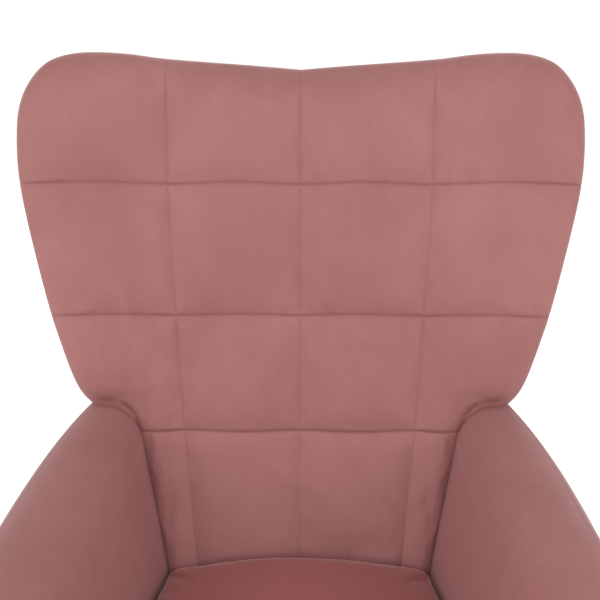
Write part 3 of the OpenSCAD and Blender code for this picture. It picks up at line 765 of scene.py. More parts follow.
@dataclass
class BackPad:
    """The padded front of the back, stitched through into four columns and four rows.

    Sizes are in millimetres in the back's own axes: across it, and up its slope from the seat.

    Attributes:
        shape: The shell's shape.
        half: The right half of its outline, from the top middle to the bottom middle.
        side_seam: The right side seam's points, from the bottom up.
        row_seams: Heights of the cross seams.
        row_bow: How far each cross seam bows upwards between the upright ones.
        rim: Reach of the round along its front edge, and how far that falls back.
        puff: How far the filling stands out between the seams.
        groove: Depth of a seam's groove.
        groove_w: Half the width of a seam's groove.
        creases: Short creases beside the seat, each from one end to the other.
        front_d: Depth of the front face at the seams.
        arm_fold: Reach of the fold against an arm, and how far it is pressed back.
        cell: How many stretches of mesh cross one stitched cell.
        crowd: How much they crowd towards its seams, from 0 to 1.
        corner: The outline's slope at the wing's top corner, in degrees.
        rear_d: Depth of the flat rear face.
    """

    shape: ShellShape
    half: list[Point] = field(default_factory=lambda: [
        (0, 604), (60, 609), (161, 616), (203, 621), (239, 623), (272, 621), (301, 611), (322, 589),
        (335, 560), (339, 525), (337, 475), (327, 419), (304, 324), (289, 275), (272, 227), (257, 204),
        (240, 192), (221, 184), (203, 163), (193, 140), (185, 107), (175, 58), (163, 0), (156, -40),
        (146, -64), (110, -70), (0, -70)])
    side_seam: list[Point] = field(default_factory=lambda: [
        (112, -70), (124, 22), (132, 107), (138, 169), (148, 309), (158, 464), (161, 616)])
    row_seams: tuple[float, ...] = (169.0, 307.0, 464.0)
    rim: tuple[float, float] = (50.0, 40.0)
    puff: float = 4.6
    groove: float = 1.5
    groove_w: float = 1.3
    creases: tuple[tuple[Point, Point], ...] = (
        ((48, 15), (68, 31)), ((57, 12), (82, 34)), ((38, 17), (50, 27)))
    row_bow: tuple[float, ...] = (-2.0, 1.5, 2.5)
    front_d: float = -2.5
    arm_fold: tuple[float, float] = (7.0, 3.0)
    cell: int = 33
    crowd: float = 0.75
    corner: float = 45.0
    rear_d: float = -97.0

    def outline(self) -> np.ndarray:
        """Returns the right half of the outline as a smooth line."""
        return smooth_line(self.half, 8)

    def whole_outline(self, count: int) -> np.ndarray:
        """Returns the closed outline as count points, counter-clockwise from the front."""
        half = self.outline()
        whole = np.vstack([half, (half * [-1, 1])[-2:0:-1]])[::-1]
        return along(np.vstack([whole, whole[:1]]), np.linspace(0, 1, count, endpoint=False))

    def sides(self) -> tuple[np.ndarray, np.ndarray]:
        """Splits the outline at the wing's top corner.

        Returns:
            The top, from the middle outwards, and the side, from the bottom up to the corner.
        """
        line = self.outline()
        step = np.gradient(line, axis=0)
        heading = np.degrees(np.arctan2(-step[:, 1], step[:, 0]))
        corner = int(np.argmax(heading > self.corner))
        bottom = int(np.argmax(line[:, 1] < self.half[-1][1] + 2))
        return line[:corner + 1], line[corner:bottom + 1][::-1]

    def levels(self) -> np.ndarray:
        """Returns the rows' shares, as whole rows counted from the bottom."""
        part = clustered(self.cell, self.crowd)[:-1]
        return np.concatenate([row + part for row in range(4)] + [[4.0]])

    def stretch(self, s: np.ndarray, t: np.ndarray) -> np.ndarray:
        """Stretches a square grid over the outline.

        Args:
            s: Columns from the middle, 0, past the side seam, 1, to the edge, 2, with the side's sign.
            t: Rows from the bottom, 0, to the top, 4.

        Returns:
            Flat points, one per row.
        """
        top, side = self.sides()
        seam = smooth_line(self.side_seam, 8)
        marks = [side[0, 1], *self.row_seams]
        a = np.abs(s)

        def across(v: np.ndarray) -> np.ndarray:
            """Returns how far out each column lies at the heights v."""
            inner = np.interp(v, seam[:, 1], seam[:, 0])
            outer = np.interp(v, side[:, 1], side[:, 0])
            return np.where(a < 1, inner * a, inner + (outer - inner) * (a - 1))

        bow = sum(high * np.exp(-(((t - row) / 0.2) ** 2)) for row, high in enumerate(self.row_bow, 1))
        bow = bow * np.sin(np.pi * a) ** 2
        low_v = np.interp(np.minimum(t, 3), [0, 1, 2, 3], marks)
        low = np.stack([across(low_v), low_v + bow], -1)
        tau = clamp01(t - 3)
        upper_side = side[side[:, 1] >= self.row_seams[-1]]
        start = np.array([[np.interp(marks[-1], side[:, 1], side[:, 0]), marks[-1]]])
        upper_side = np.vstack([start, upper_side])
        lengths = np.concatenate([[0], np.cumsum(np.linalg.norm(np.diff(top, axis=0), axis=1))])
        seam_share = np.interp(seam[-1, 0], top[:, 0], lengths / lengths[-1])
        top_line = along(top, np.interp(a, [0, 1, 2], [0, seam_share, 1]))
        bottom_line = np.stack([across(np.full(len(s), marks[-1])), np.full(len(s), marks[-1])], -1)
        edge = along(upper_side, tau)
        corner = top[-1]
        straight = start[0] * (1 - tau[:, None]) + corner * tau[:, None]
        block = bottom_line * (1 - tau[:, None]) + top_line * tau[:, None]
        block += np.maximum(a - 1, 0)[:, None] ** 1.5 * (edge - straight)
        block[:, 1] += bow * (1 - tau)
        flat = np.where(t[:, None] > 3, block, low)
        flat[:, 0] *= np.where(s < 0, -1, 1)
        return flat

    def depth(self, s: np.ndarray, t: np.ndarray, flat: np.ndarray) -> tuple[np.ndarray, np.ndarray]:
        """Works out the front surface.

        Args:
            s: Columns, as in stretch.
            t: Rows, as in stretch.
            flat: The flat points.

        Returns:
            Each point's depth, and how near it is to a seam, from 0 to 1.
        """
        edge = distance_to_line(np.stack([np.abs(flat[:, 0]), flat[:, 1]], -1), self.outline())
        reach, fall = self.rim
        # Beside the arms the rim's round is tighter than on the wings.
        near = clamp01(1 - edge / (reach * (0.3 + 0.7 * ease((flat[:, 1] - 120) / 80))))
        round_off = fall * (1 - np.sqrt(np.maximum(1 - near**2.2, 0)))
        a, b = np.abs(s) % 1.0, t % 1.0
        # The outer columns swell most beside their seam and die away towards the wings' edges.
        across = np.where(np.abs(s) > 1, 4 * a * (1 - 0.84 * a), 4 * a * (1 - a))
        hill = clamp01(4 * b * (1 - b)) ** 0.4 * (0.5 + 0.5 * clamp01(across) ** 0.45)
        columns, rows = self.seam_gaps(s, t, flat)
        groove = np.maximum(np.exp(-((rows / self.groove_w) ** 2)),
                            0.6 * np.exp(-((columns / self.groove_w) ** 2)))
        for crease in self.creases:
            gap = distance_to_line(flat, np.array(crease, float))
            groove = np.maximum(groove, 0.6 * np.exp(-((gap / (1.5 * self.groove_w)) ** 2)))
        depth = (self.front_d + self.puff * hill * (1 - 0.55 * near) - round_off
                 - self.groove * groove * (1 - 0.4 * near))
        return depth, groove

    def seam_gaps(self, s: np.ndarray, t: np.ndarray, flat: np.ndarray) -> tuple[np.ndarray, np.ndarray]:
        """Returns how far each point is from the nearest upright and the nearest cross seam."""
        columns = rows = np.full(len(s), 1e3)
        for column in (0.0, 1.0):
            seam = self.stretch(np.where(s < 0, -column, column), t)
            columns = np.minimum(columns, np.abs(flat[:, 0] - seam[:, 0]))
        for row in (1.0, 2.0, 3.0):
            seam = self.stretch(s, np.full(len(t), row))
            rows = np.minimum(rows, np.where(np.abs(t - row) < 0.5, np.abs(flat[:, 1] - seam[:, 1]), 1e3))
        return columns, rows

    def front(self, bm: bmesh.types.BMesh) -> tuple[dict, np.ndarray, np.ndarray, np.ndarray]:
        """Makes the front as a grid stretched over the outline.

        Args:
            bm: The mesh.

        Returns:
            The vertices by column and row, and their flat points, depths and nearness to a seam.
        """
        part = clustered(self.cell, self.crowd)
        s_half = np.concatenate([part[:-1], 1 + part])
        s_line = np.concatenate([-s_half[:0:-1], s_half])
        t_line = self.levels()
        nx, ny = len(s_line) - 1, len(t_line) - 1
        verts = bmesh.ops.create_grid(bm, x_segments=nx, y_segments=ny, size=1.0)["verts"]
        grid = {(round((v.co.x + 1) / 2 * nx), round((v.co.y + 1) / 2 * ny)): v for v in verts}
        s = np.array([s_line[i] for i, _ in grid])
        t = np.array([t_line[j] for _, j in grid])
        flat = self.stretch(s, t)
        depth, groove = self.depth(s, t, flat)
        press, shade = self.arm_press(flat, depth)
        depth, groove = depth - press, np.maximum(groove, shade)
        place_ring(list(grid.values()), self.shape.on_back(flat * MM, depth * MM))
        return grid, flat, depth, groove

    def build(self) -> bpy.types.Object:
        """Makes the pad as a closed shell, inflates it between its seams and returns it."""
        bm = bmesh.new()
        grid, flat, depth, groove = self.front(bm)
        seam = dict(zip(grid.values(), groove))
        nx, ny = (1 + max(key[axis] for key in grid) for axis in (0, 1))
        loop = ([(i, 0) for i in range(nx)] + [(nx - 1, j) for j in range(1, ny)]
                + [(i, ny - 1) for i in range(nx - 2, -1, -1)] + [(0, j) for j in range(ny - 2, 0, -1)])
        index = {key: number for number, key in enumerate(grid)}
        order = [index[key] for key in loop]
        ring = [grid[key] for key in loop]
        edge, edge_d, edge_groove = flat[order], depth[order], groove[order]
        inwards = self.inward(edge)
        for inset, back in self.ring_profile():
            ring = extrude_ring(bm, ring)
            drawn_in = inset + self.groove * 0.7 * edge_groove
            place_ring(ring, self.shape.on_back(
                (edge + inwards * drawn_in[:, None]) * MM, (edge_d + back) * MM))
            seam.update(zip(ring, edge_groove))
        centre = np.array([[0.0, 330.0]])
        for share in (0.75, 0.4, 0.1):
            points = centre + (edge - centre) * share
            ring = extrude_ring(bm, ring)
            place_ring(ring, self.shape.on_back(points * MM, np.full(len(points), self.rear_d * MM)))
            seam.update(zip(ring, np.zeros(len(ring))))
        close_ring(bm, ring)
        bm.verts.index_update()
        values = np.zeros(len(bm.verts))
        for vert, value in seam.items():
            values[vert.index] = value
        bmesh.ops.recalc_face_normals(bm, faces=bm.faces)
        pad = new_object("back_pad_cover", in_order(bm))
        free = self.free_area(pad)
        settle(pad, np.clip(values * 1.2 + (1 - free), 0, 1), ClothSettings(
            pressure=2.5, spare=0.008, cap=0.003, bending=0.3))
        # Painted shade: the cover darkens in its seams' grooves, along the creases and in the fold against
        # each arm.
        mark(pad, "seam", values**2 * 0.42)
        subdivide(pad)
        return pad

    def arm_press(self, flat: np.ndarray, depth: np.ndarray) -> tuple[np.ndarray, np.ndarray]:
        """Works out how the arms press into the pad where they meet it.

        Args:
            flat: The flat points.
            depth: Their depths.

        Returns:
            How far each point is pressed back, in millimetres, and how deep in the fold it is, which
            also sets the painted shade in the fold.
        """
        place = self.shape.on_back(flat * MM, depth * MM) / MM
        turn = math.atan(self.shape.arm_spread)
        out = ((np.abs(place[:, 0]) - self.shape.seat_half_w / MM) * math.cos(turn)
               + (place[:, 1] - self.shape.junction_y / MM) * math.sin(turn))
        section = ArmPad(self.shape, Side.RIGHT).section(100.0)
        gap = distance_to_line(np.stack([out, place[:, 2]], -1), section)
        reach = self.arm_fold[0]
        return self.arm_fold[1] * clamp01(1 - gap / reach) ** 2.2, 1.4 * np.exp(-((gap / 2.6) ** 2))

    def ring_profile(self) -> list[tuple[float, float]]:
        """Returns the rings behind the rim: how far in and how far back each one is."""
        straight = [(0.4, -5.0), (0.6, -11.0), (0.8, -18.0), (1.0, -25.0), (1.6, -31.0)]
        quarter = [math.radians(a) for a in (20, 40, 60, 80)]
        return straight + [(2 + 20 * (1 - math.cos(a)), -34 - 20 * math.sin(a)) for a in quarter]

    def inward(self, edge: np.ndarray) -> np.ndarray:
        """Returns the outline's inward direction at each point of a counter-clockwise loop."""
        step = np.roll(edge, -2, axis=0) - np.roll(edge, 2, axis=0)
        step /= np.linalg.norm(step, axis=1, keepdims=True)
        return np.stack([-step[:, 1], step[:, 0]], -1)

    def free_area(self, pad: bpy.types.Object) -> np.ndarray:
        """Returns 1 where the cover may move, on the front, and 0 on the rim and the rear."""
        co = coordinates(pad)
        sin, cos = math.sin(self.shape.tilt), math.cos(self.shape.tilt)
        y, z = co[:, 1] - self.shape.junction_y, co[:, 2] - self.shape.seat_h
        v = y * sin + z * cos
        d = -y * cos + z * sin - self.shape.wing_curve(co[:, 0], v)
        return ease((d + 0.034) / 0.016)


@dataclass
class BackCover:
    """The covered panel that closes the back, with a welt round its edge.

    Sizes are in millimetres in the back's own axes.

    Attributes:
        shape: The shell's shape.
        pad: The pad whose outline it follows.
        inset: How far inside that outline its edge lies.
        front: Depth of its front face.
        drop: How far its lower end hangs below the pad.
        welt_r: Radius of the welt.
        count: How many points go round it.
    """

    shape: ShellShape
    pad: BackPad
    inset: float = 21.0
    front: float = -96.0
    drop: float = 83.0
    welt_r: float = 3.4
    count: int = 360

    def ring(self, share: float, back: float, inset: float) -> np.ndarray:
        """Draws a ring of the panel.

        Args:
            share: Its size, as a share of the whole outline.
            back: Its depth.
            inset: How far it is drawn in from the pad's outline.

        Returns:
            The ring's points in the chair's own axes.
        """
        line = self.pad.whole_outline(self.count)
        for _ in range(30):
            line = (np.roll(line, 1, axis=0) + 2 * line + np.roll(line, -1, axis=0)) / 4
        line = line + self.pad.inward(line) * inset
        line[:, 1] -= self.drop * ease((60 - line[:, 1]) / 110)
        middle = np.array([0.0, 300.0])
        return self.shape.on_back((middle + (line - middle) * share) * MM, back * MM)

    def build(self) -> list[bpy.types.Object]:
        """Makes the panel and its welt, and returns them."""
        rings = [self.ring(share, self.front, self.inset) for share in (0.3, 0.98)]
        for angle in np.radians((0, 30, 60, 90)):
            rings.append(self.ring(1 - 0.02 * math.sin(angle) ** 2, self.front - 2 - 5 * math.sin(angle),
                                   self.inset + 4 * (1 - math.cos(angle))))
        for share in (0.93, 0.85, 0.7, 0.5, 0.25, 0.08):
            rings.append(self.ring(share, self.front - 8.5 - 3.5 * (1 - share**2), self.inset + 4))
        panel = new_object("back_rear_cover", loft(rings))
        subdivide(panel)
        line = self.ring(1.0, self.front - 2.5, self.inset - 2.0)
        return [panel, new_object("back_rear_welt", welt(line, self.welt_r * MM))]


@dataclass
class ArmPad:
    """A padded arm: a slab with a full round over its top that thins towards the back.

    Sizes are in millimetres in the arm's own axes: outwards from its inner face, along it to the
    rear from the seat's corner, and up from the floor.

    Attributes:
        shape: The shell's shape.
        side: Which arm.
        front: Its front end along the arm.
        rear: Its rear end along the arm.
        top_rear: Height of its top at the rear.
        top_front: Height of its top at the front.
        thick: Thickness across its top.
        foot: Thickness at its underside.
        front_r: Radius of the round at its front end.
        rear_r: The same at its rear end.
        front_rake: Lean of its front end.
        middle: Where its ends are drawn together, outwards and up.
        stations: How many stretches of mesh lie along it.
        fullness: The roll's exponent, in which 1 is a circle and less is fuller.
        corner: Radius of the edges along its underside.
        seam_back: The outer seam's place in a section, counted from its end.
    """

    shape: ShellShape
    side: Side
    front: float = -521.0
    rear: float = 114.0
    top_rear: float = 645.0
    top_front: float = 601.0
    thick: float = 110.0
    foot: float = 79.0
    front_r: float = 30.0
    rear_r: float = 12.0
    front_rake: float = -0.06
    middle: Point = (54.0, 445.0)
    stations: int = 58
    fullness: float = 0.94
    corner: float = 9.0
    seam_back: int = 22

    def taper(self, y: float) -> float:
        """Returns how far the arm has thinned at y, from 0 to 1."""
        return float(clamp01((y + 240) / 293)) ** 3

    def top(self, y: float) -> float:
        """Returns the height of the arm's top at y."""
        share = float(clamp01((y - self.front) / (60 - self.front)))
        return self.top_front + (self.top_rear - self.top_front) * share**1.6

    def inner(self, z: float) -> float:
        """Returns how far the inner face has leaned out at height z."""
        return max(0.0, z - self.shape.seat_h / MM) * self.shape.arm_lean

    def section(self, y: float) -> np.ndarray:
        """Draws the arm's section at y.

        Args:
            y: The place along the arm.

        Returns:
            Points outwards and up, clockwise from the underside's outer corner.
        """
        width = self.thick - 37 * self.taper(y) - 10 * float(ease((-240 - y) / 280))
        foot = self.foot - 18 * self.taper(y)
        bulge = width * 0.54
        shoulder = self.top(y) - bulge
        base = self.shape.base_z / MM
        mid = self.inner(shoulder) + width / 2
        slope = (mid + width / 2 - foot) / (shoulder - base)
        turns = np.radians([80, 50, 20])
        edge = [(self.corner * (1 - math.cos(a)), base + self.corner * (1 - math.sin(a))) for a in turns]
        levels = np.linspace(base + 16, shoulder, 15)
        points = [(foot - x, z) for x, z in edge[::-1]]
        points += [(foot * k / 6, base) for k in (5, 4, 3, 2, 1)] + edge
        points += [(self.inner(z), z) for z in levels[:-1]]
        for a in np.radians(np.linspace(180, 0, 25)):
            c, s = math.cos(a), max(math.sin(a), 0.0)
            points.append((mid + width / 2 * math.copysign(abs(c) ** self.fullness, c),
                           shoulder + bulge * s**self.fullness))
        points += [(foot + slope * (z - base), z) for z in levels[-2::-1]]
        return np.array(points)

    def ring(self, y: float, inset: float) -> np.ndarray:
        """Places a ring of the arm.

        Args:
            y: The place along the arm.
            inset: How far the section is drawn in all round.

        Returns:
            The ring's points in the chair's own axes.
        """
        flat = self.section(y)
        base = self.shape.base_z / MM
        high = (self.top(y) - base) / 2
        share = (y - self.front) / (self.rear - self.front)
        rake = self.front_rake + (math.tan(self.shape.tilt) - self.front_rake) * float(ease(share))
        x = self.middle[0] + (flat[:, 0] - self.middle[0]) * (1 - 2 * inset / self.thick)
        z = self.middle[1] + (flat[:, 1] - self.middle[1]) * (1 - inset / high)
        points = np.stack([x, y + rake * (flat[:, 1] - self.middle[1]), z], -1)
        return self.shape.on_arm(self.side, points * MM)

    def end_inset(self, share: float, radius: float) -> float:
        """Returns how far a ring on an end face is drawn in, from its middle, 0, to its edge, 1."""
        return radius + (self.thick / 2 - radius) * (1 - share) ** 1.2

    def build(self) -> bpy.types.Object:
        """Makes the arm, inflates it a little and returns it."""
        start, end = self.front + self.front_r, self.rear - self.rear_r
        tips = np.radians(np.linspace(6, 90, 8))
        rings = [(self.front + 0.5 * (1 - share), self.end_inset(share, self.front_r))
                 for share in (0.12, 0.45, 0.8)]
        rings += [(start - self.front_r * math.cos(a), self.front_r * (1 - math.sin(a))) for a in tips]
        rings += [(start + (end - start) * k / self.stations, 0.0) for k in range(1, self.stations)]
        rings += [(end + self.rear_r * math.cos(a), self.rear_r * (1 - math.sin(a))) for a in tips[::-2]]
        rings += [(self.rear - 0.5 * share, self.end_inset(share, self.rear_r)) for share in (0.7, 0.4, 0.1)]
        placed = [self.ring(y, inset) for y, inset in rings]
        arm = new_object(f"arm_cover_{self.side.name.lower()}", loft(placed))
        co = coordinates(arm)
        count = len(placed[0])
        settle(arm, (co[:, 2] < self.shape.base_z + 0.02).astype(float), ClothSettings(
            pressure=2.0, spare=0.0, cap=0.003, bending=2.0))
        ring = np.arange(len(co)) % count
        # A dark seam line along the outer side of the top's round.
        mark(arm, "seam", np.where(ring == count - self.seam_back, 0.6, 0.0))
        # Painted shade on the arm's inner face, fading out over the round of its top.
        mark(arm, "face_shade", np.where(ring < 8, 0.0, 0.4 * (1 - ease((ring - 24) / 9))))
        subdivide(arm)
        return arm


@dataclass
class SeatCushion:
    """A box cushion with a crowned top and rounded edges.

    Attributes:
        shape: The shell's shape.
        front_y: Its front edge.
        rear_y: Its rear edge at seat height.
        base_z: Its underside.
        crown: How far its middle stands above its sides.
        lift: How far its side edge stands above seat height.
        gap: The gap to each arm.
        corner: Radius of its front corners, from above.
        rear_corner: The same at the rear.
        base_r: Radius of its lower edge.
        top_r: Radius of its upper edge.
        middle: The point its rings close in on.
    """

    shape: ShellShape
    front_y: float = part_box("seat_cushion")[0].y
    rear_y: float = 0.137
    base_z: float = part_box("seat_cushion")[0].z
    crown: float = 0.021
    lift: float = 0.003
    gap: float = 0.001
    corner: float = 0.045
    rear_corner: float = 0.012
    base_r: float = 0.008
    top_r: float = 0.014
    middle: Point = (0.0, -0.12)

    def outline(self) -> np.ndarray:
        """Returns the closed outline from above, counter-clockwise, with round corners."""
        rear = float(self.shape.half_width(self.rear_y)) - self.gap
        front = float(self.shape.half_width(self.front_y)) - self.gap - 0.004
        lean = math.degrees(math.atan(self.shape.arm_spread))
        r, small = self.corner, self.rear_corner
        points = [(front - r + r * math.cos(a), self.front_y + r + r * math.sin(a))
                  for a in np.radians(np.linspace(-90, -lean, 9))]
        points += [(rear - small + small * math.cos(a), self.rear_y - small + small * math.sin(a))
                   for a in np.radians(np.linspace(-lean, 90, 7))]
        right = np.array(points)
        line = np.vstack([right, right[::-1] * [-1, 1]])
        return along(np.vstack([line, line[:1]]), np.linspace(0, 1, 300, endpoint=False))

    def ring(self, share: float, z: float, inset: float = 0.0, dome: float = 0.0) -> np.ndarray:
        """Draws a ring of the cushion.

        Args:
            share: Its size, as a share of the outline.
            z: Its height at the sides.
            inset: How far it is drawn in from the outline.
            dome: How far the crown lifts its middle.

        Returns:
            The ring's points.
        """
        middle = np.array(self.middle)
        out = self.outline() - middle
        flat = middle + out * (1 - inset / np.linalg.norm(out, axis=1, keepdims=True)) * share
        arch = 1 - (flat[:, 0] / self.shape.half_width(flat[:, 1])) ** 2
        front_fall = ease((flat[:, 1] - self.front_y) / 0.16)
        height = z + dome * arch * (0.35 + 0.65 * front_fall)
        # Towards the rear the rings lean back with the back pad.
        lean = clamp01((flat[:, 1] + 0.04) / 0.16) * math.tan(self.shape.tilt)
        return np.stack([flat[:, 0], flat[:, 1] + (height - self.shape.seat_h) * lean, height], -1)

    def build(self) -> bpy.types.Object:
        """Makes the cushion, inflates it and returns it."""
        top = self.shape.seat_h + self.lift
        low, high = self.base_z + self.base_r, top - self.top_r
        rings = [self.ring(share, self.base_z) for share in (0.05, 0.3, 0.6, 0.85, 0.95)]
        for a in np.radians([0, 30, 60, 90]):
            rings.append(self.ring(1.0, low - self.base_r * math.cos(a), self.base_r * (1 - math.sin(a))))
        for share in np.arange(1, 10) / 9:
            rings.append(self.ring(1.0, low + (high - low) * share, -0.0015 * math.sin(math.pi * share)))
        for a in np.radians([15, 35, 55, 75, 90]):
            rings.append(self.ring(1.0, high + self.top_r * math.sin(a), self.top_r * (1 - math.cos(a)),
                                   self.crown * math.sin(a) ** 2))
        for share in (0.9, 0.84, 0.77, 0.7, 0.62, 0.54, 0.46, 0.38, 0.3, 0.2, 0.1, 0.03):
            rings.append(self.ring(share, top + 0.007 * (1 - share) ** 0.7, self.top_r * share, self.crown))
        cushion = new_object("seat_cushion_cover", loft(rings))
        co = coordinates(cushion)
        settle(cushion, (co[:, 2] < self.base_z + 0.012).astype(float), ClothSettings(
            pressure=3.0, spare=0.01, cap=0.004, bending=1.0))
        # Painted shade: the top is given a darker, deeper colour, fading in over the sides' upper 28 mm.
        mark(cushion, "face_shade", ease((co[:, 2] - self.shape.seat_h + 0.028) / 0.028))
        subdivide(cushion)
        return cushion


@dataclass
class FrontApron:
    """The padded strip that covers the seat frame's front rail.

    Attributes:
        box: The strip's box.
        edge: Radius of its edges.
        reach: How far it runs past that box at each end.
        fill: How far its padding stands out in front.
    """

    box: tuple[Vector, Vector] = field(default_factory=lambda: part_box("front_apron"))
    edge: float = 0.009
    reach: float = 0.006
    fill: float = 0.003

    def build(self) -> bpy.types.Object:
        """Makes the strip as a rounded, slightly crowned slab."""
        low, high = self.box
        bm = bmesh.new()
        bmesh.ops.create_cube(bm, size=1.0)
        size, centre = high - low + Vector((2 * self.reach, 0, 0)), (low + high) / 2
        placed = Matrix.Translation(centre) @ Matrix.Diagonal((*size, 1))
        bmesh.ops.transform(bm, matrix=placed, verts=bm.verts)
        bmesh.ops.bevel(bm, geom=bm.edges[:], offset=self.edge, segments=5, profile=0.5,
                        affect="EDGES", material=-1)
        long = [e for e in bm.edges if abs(e.verts[0].co.x - e.verts[1].co.x) > size.x / 2]
        bmesh.ops.subdivide_edges(bm, edges=long, cuts=40, use_grid_fill=True)
        for vert in bm.verts:
            front = clamp01((centre.y - vert.co.y) / (size.y / 2))
            up = (vert.co.z - centre.z) / (size.z / 2)
            side = (vert.co.x - centre.x) / (size.x / 2)
            vert.co.y -= self.fill * front * (1 - up**2) * (1 - abs(side) ** 6)
        apron = new_object("front_apron_cover", bm)
        subdivide(apron)
        return apron


@dataclass
class Lining:
    """The thin black cloth stretched under the seat, hanging a little between its tacks.

    Attributes:
        shape: The shell's shape.
        box: The cloth's box.
        sag: How far its middle hangs.
        thick: Its thickness.
    """

    shape: ShellShape
    box: tuple[Vector, Vector] = field(default_factory=lambda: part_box("dust_cover"))
    sag: float = 0.002
    thick: float = 0.0006

    def build(self) -> bpy.types.Object:
        low, high = self.box
        length = high.y - low.y
        front, rear = high.x, high.x - length * self.shape.arm_spread
        bm = bmesh.new()
        bmesh.ops.create_grid(bm, x_segments=40, y_segments=44, size=0.5)
        for vert in bm.verts:
            u, v = vert.co.x * 2, vert.co.y + 0.5
            vert.co.x = u * (front + (rear - front) * v)
            vert.co.y = low.y + length * v
            vert.co.z = high.z - self.sag * (1 - u**4) * math.sin(math.pi * v) ** 0.5
        bmesh.ops.solidify(bm, geom=bm.faces[:] + bm.edges[:] + bm.verts[:], thickness=self.thick)
        bmesh.ops.recalc_face_normals(bm, faces=bm.faces)
        cloth = new_object("seat_lining", bm)
        return cloth


# ---------------------------------------------------------------- wood and metal


@dataclass
class CadPieces:
    """Finishes for the CAD pieces that keep their shape, and eased copies of the visible timber.

    Attributes:
        beech: The base and the cradle.
        pine: The frame inside the upholstery.
        plywood: The boards inside it.
        zinc: Bolts, nuts and washers.
        ground: The ball bearings.
        rubber: The feet and the stops.
        webbing: The straps under the cushion.
        edge: How far the visible timber's edges are sanded round.
    """

    beech: Timber = Timber("oiled_beech", "#D8B184", "#B98A5A", "#8F6238", 5.0, 0.42)
    pine: Timber = Timber("planed_pine", "#E0C391", "#C39D65", "#A87C46", 8.0, 0.6)
    plywood: Timber = Timber("sanded_plywood", "#D2B487", "#B8935F", "#96713F", 6.0, 0.62)
    zinc: PlatedSteel = PlatedSteel("zinc_plated_steel", "#D3D5D8", "#A9ACB1", 0.3)
    ground: PlatedSteel = PlatedSteel("ground_bearing_steel", "#C4C6CA", "#8F9298", 0.22)
    rubber: MouldedRubber = MouldedRubber()
    webbing: Woven = Woven("elastic_webbing", "#4A4744", "#23211F", 1.6)
    edge: float = 0.0025

    def eased_copy(self, name: str) -> bpy.types.Object:
        """Copies a CAD piece with its sharp edges sanded round.

        Args:
            name: The CAD node.

        Returns:
            The copy, which stands for the node.
        """
        bm = bmesh.new()
        bm.from_mesh(frame["nodes"][name].data)
        bmesh.ops.remove_doubles(bm, verts=bm.verts, dist=1e-6)
        bmesh.ops.dissolve_limit(bm, angle_limit=math.radians(2), verts=bm.verts, edges=bm.edges)
        sharp = [e for e in bm.edges if len(e.link_faces) == 2 and e.calc_face_angle() > math.radians(50)
                 and e.calc_length() > 0.012]
        bmesh.ops.bevel(bm, geom=sharp, offset=self.edge, segments=3, profile=0.5, affect="EDGES",
                        material=-1, clamp_overlap=True)
        piece = new_object(f"{name}_eased", bm)
        mod = piece.modifiers.new("flat_faces", "WEIGHTED_NORMAL")
        mod.keep_sharp = True
        piece.data.set_sharp_from_angle(angle=math.radians(35))
        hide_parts(name)
        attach(piece, frame["nodes"][name]["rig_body"])
        return piece

    def grain(self, name: str) -> Grain:
        """Returns the way a timber piece's grain runs: up a post, or along any other's longest side."""
        if "posts" in name:
            return Grain.Z
        low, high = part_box(name)
        return list(Grain)[int(np.argmax(high - low))]

    def dress(self) -> None:
        """Gives every CAD piece that stays in view its finish, and reports it."""
        plain = {"zinc_steel": self.zinc.make(), "bearing_steel": self.ground.make(),
                 "rubber": self.rubber.make(), "elastic_webbing": self.webbing.make()}
        timbers = {"oiled_beech": self.beech, "pine": self.pine, "plywood": self.plywood}
        made = {}
        slots = {part["node"]: part["material_slot"] for part in frame["record"]["subparts"]}
        for name, piece in frame["nodes"].items():
            slot = slots[name]
            if slot in timbers:
                kind = slot, self.grain(name)
                if kind not in made:
                    made[kind] = timbers[slot].make(kind[1])
                material = made[kind]
                if slot == "oiled_beech":
                    piece = self.eased_copy(name)
            elif slot in plain:
                material = plain[slot]
            else:
                continue
            piece.data.materials.clear()
            piece.data.materials.append(material)
            log.info("dressed %s in %s", piece.name, material.name)


@dataclass(frozen=True)
class Lamp:
    """A soft square light.

    Attributes:
        name: Its name.
        place: Where it hangs.
        aim: The point it faces.
        size: Length of its sides.
        power: Its power in watts.
    """

    name: str
    place: Place
    aim: Place
    size: float
    power: float

    def hang(self) -> None:
        """Adds the light to the scene."""
        data = bpy.data.lights.new(self.name, "AREA")
        data.energy, data.size = self.power, self.size
        lamp = bpy.data.objects.new(self.name, data)
        lamp.location = self.place
        lamp.rotation_euler = (Vector(self.aim) - Vector(self.place)).to_track_quat("-Z", "Y").to_euler()
        bpy.context.scene.collection.objects.link(lamp)


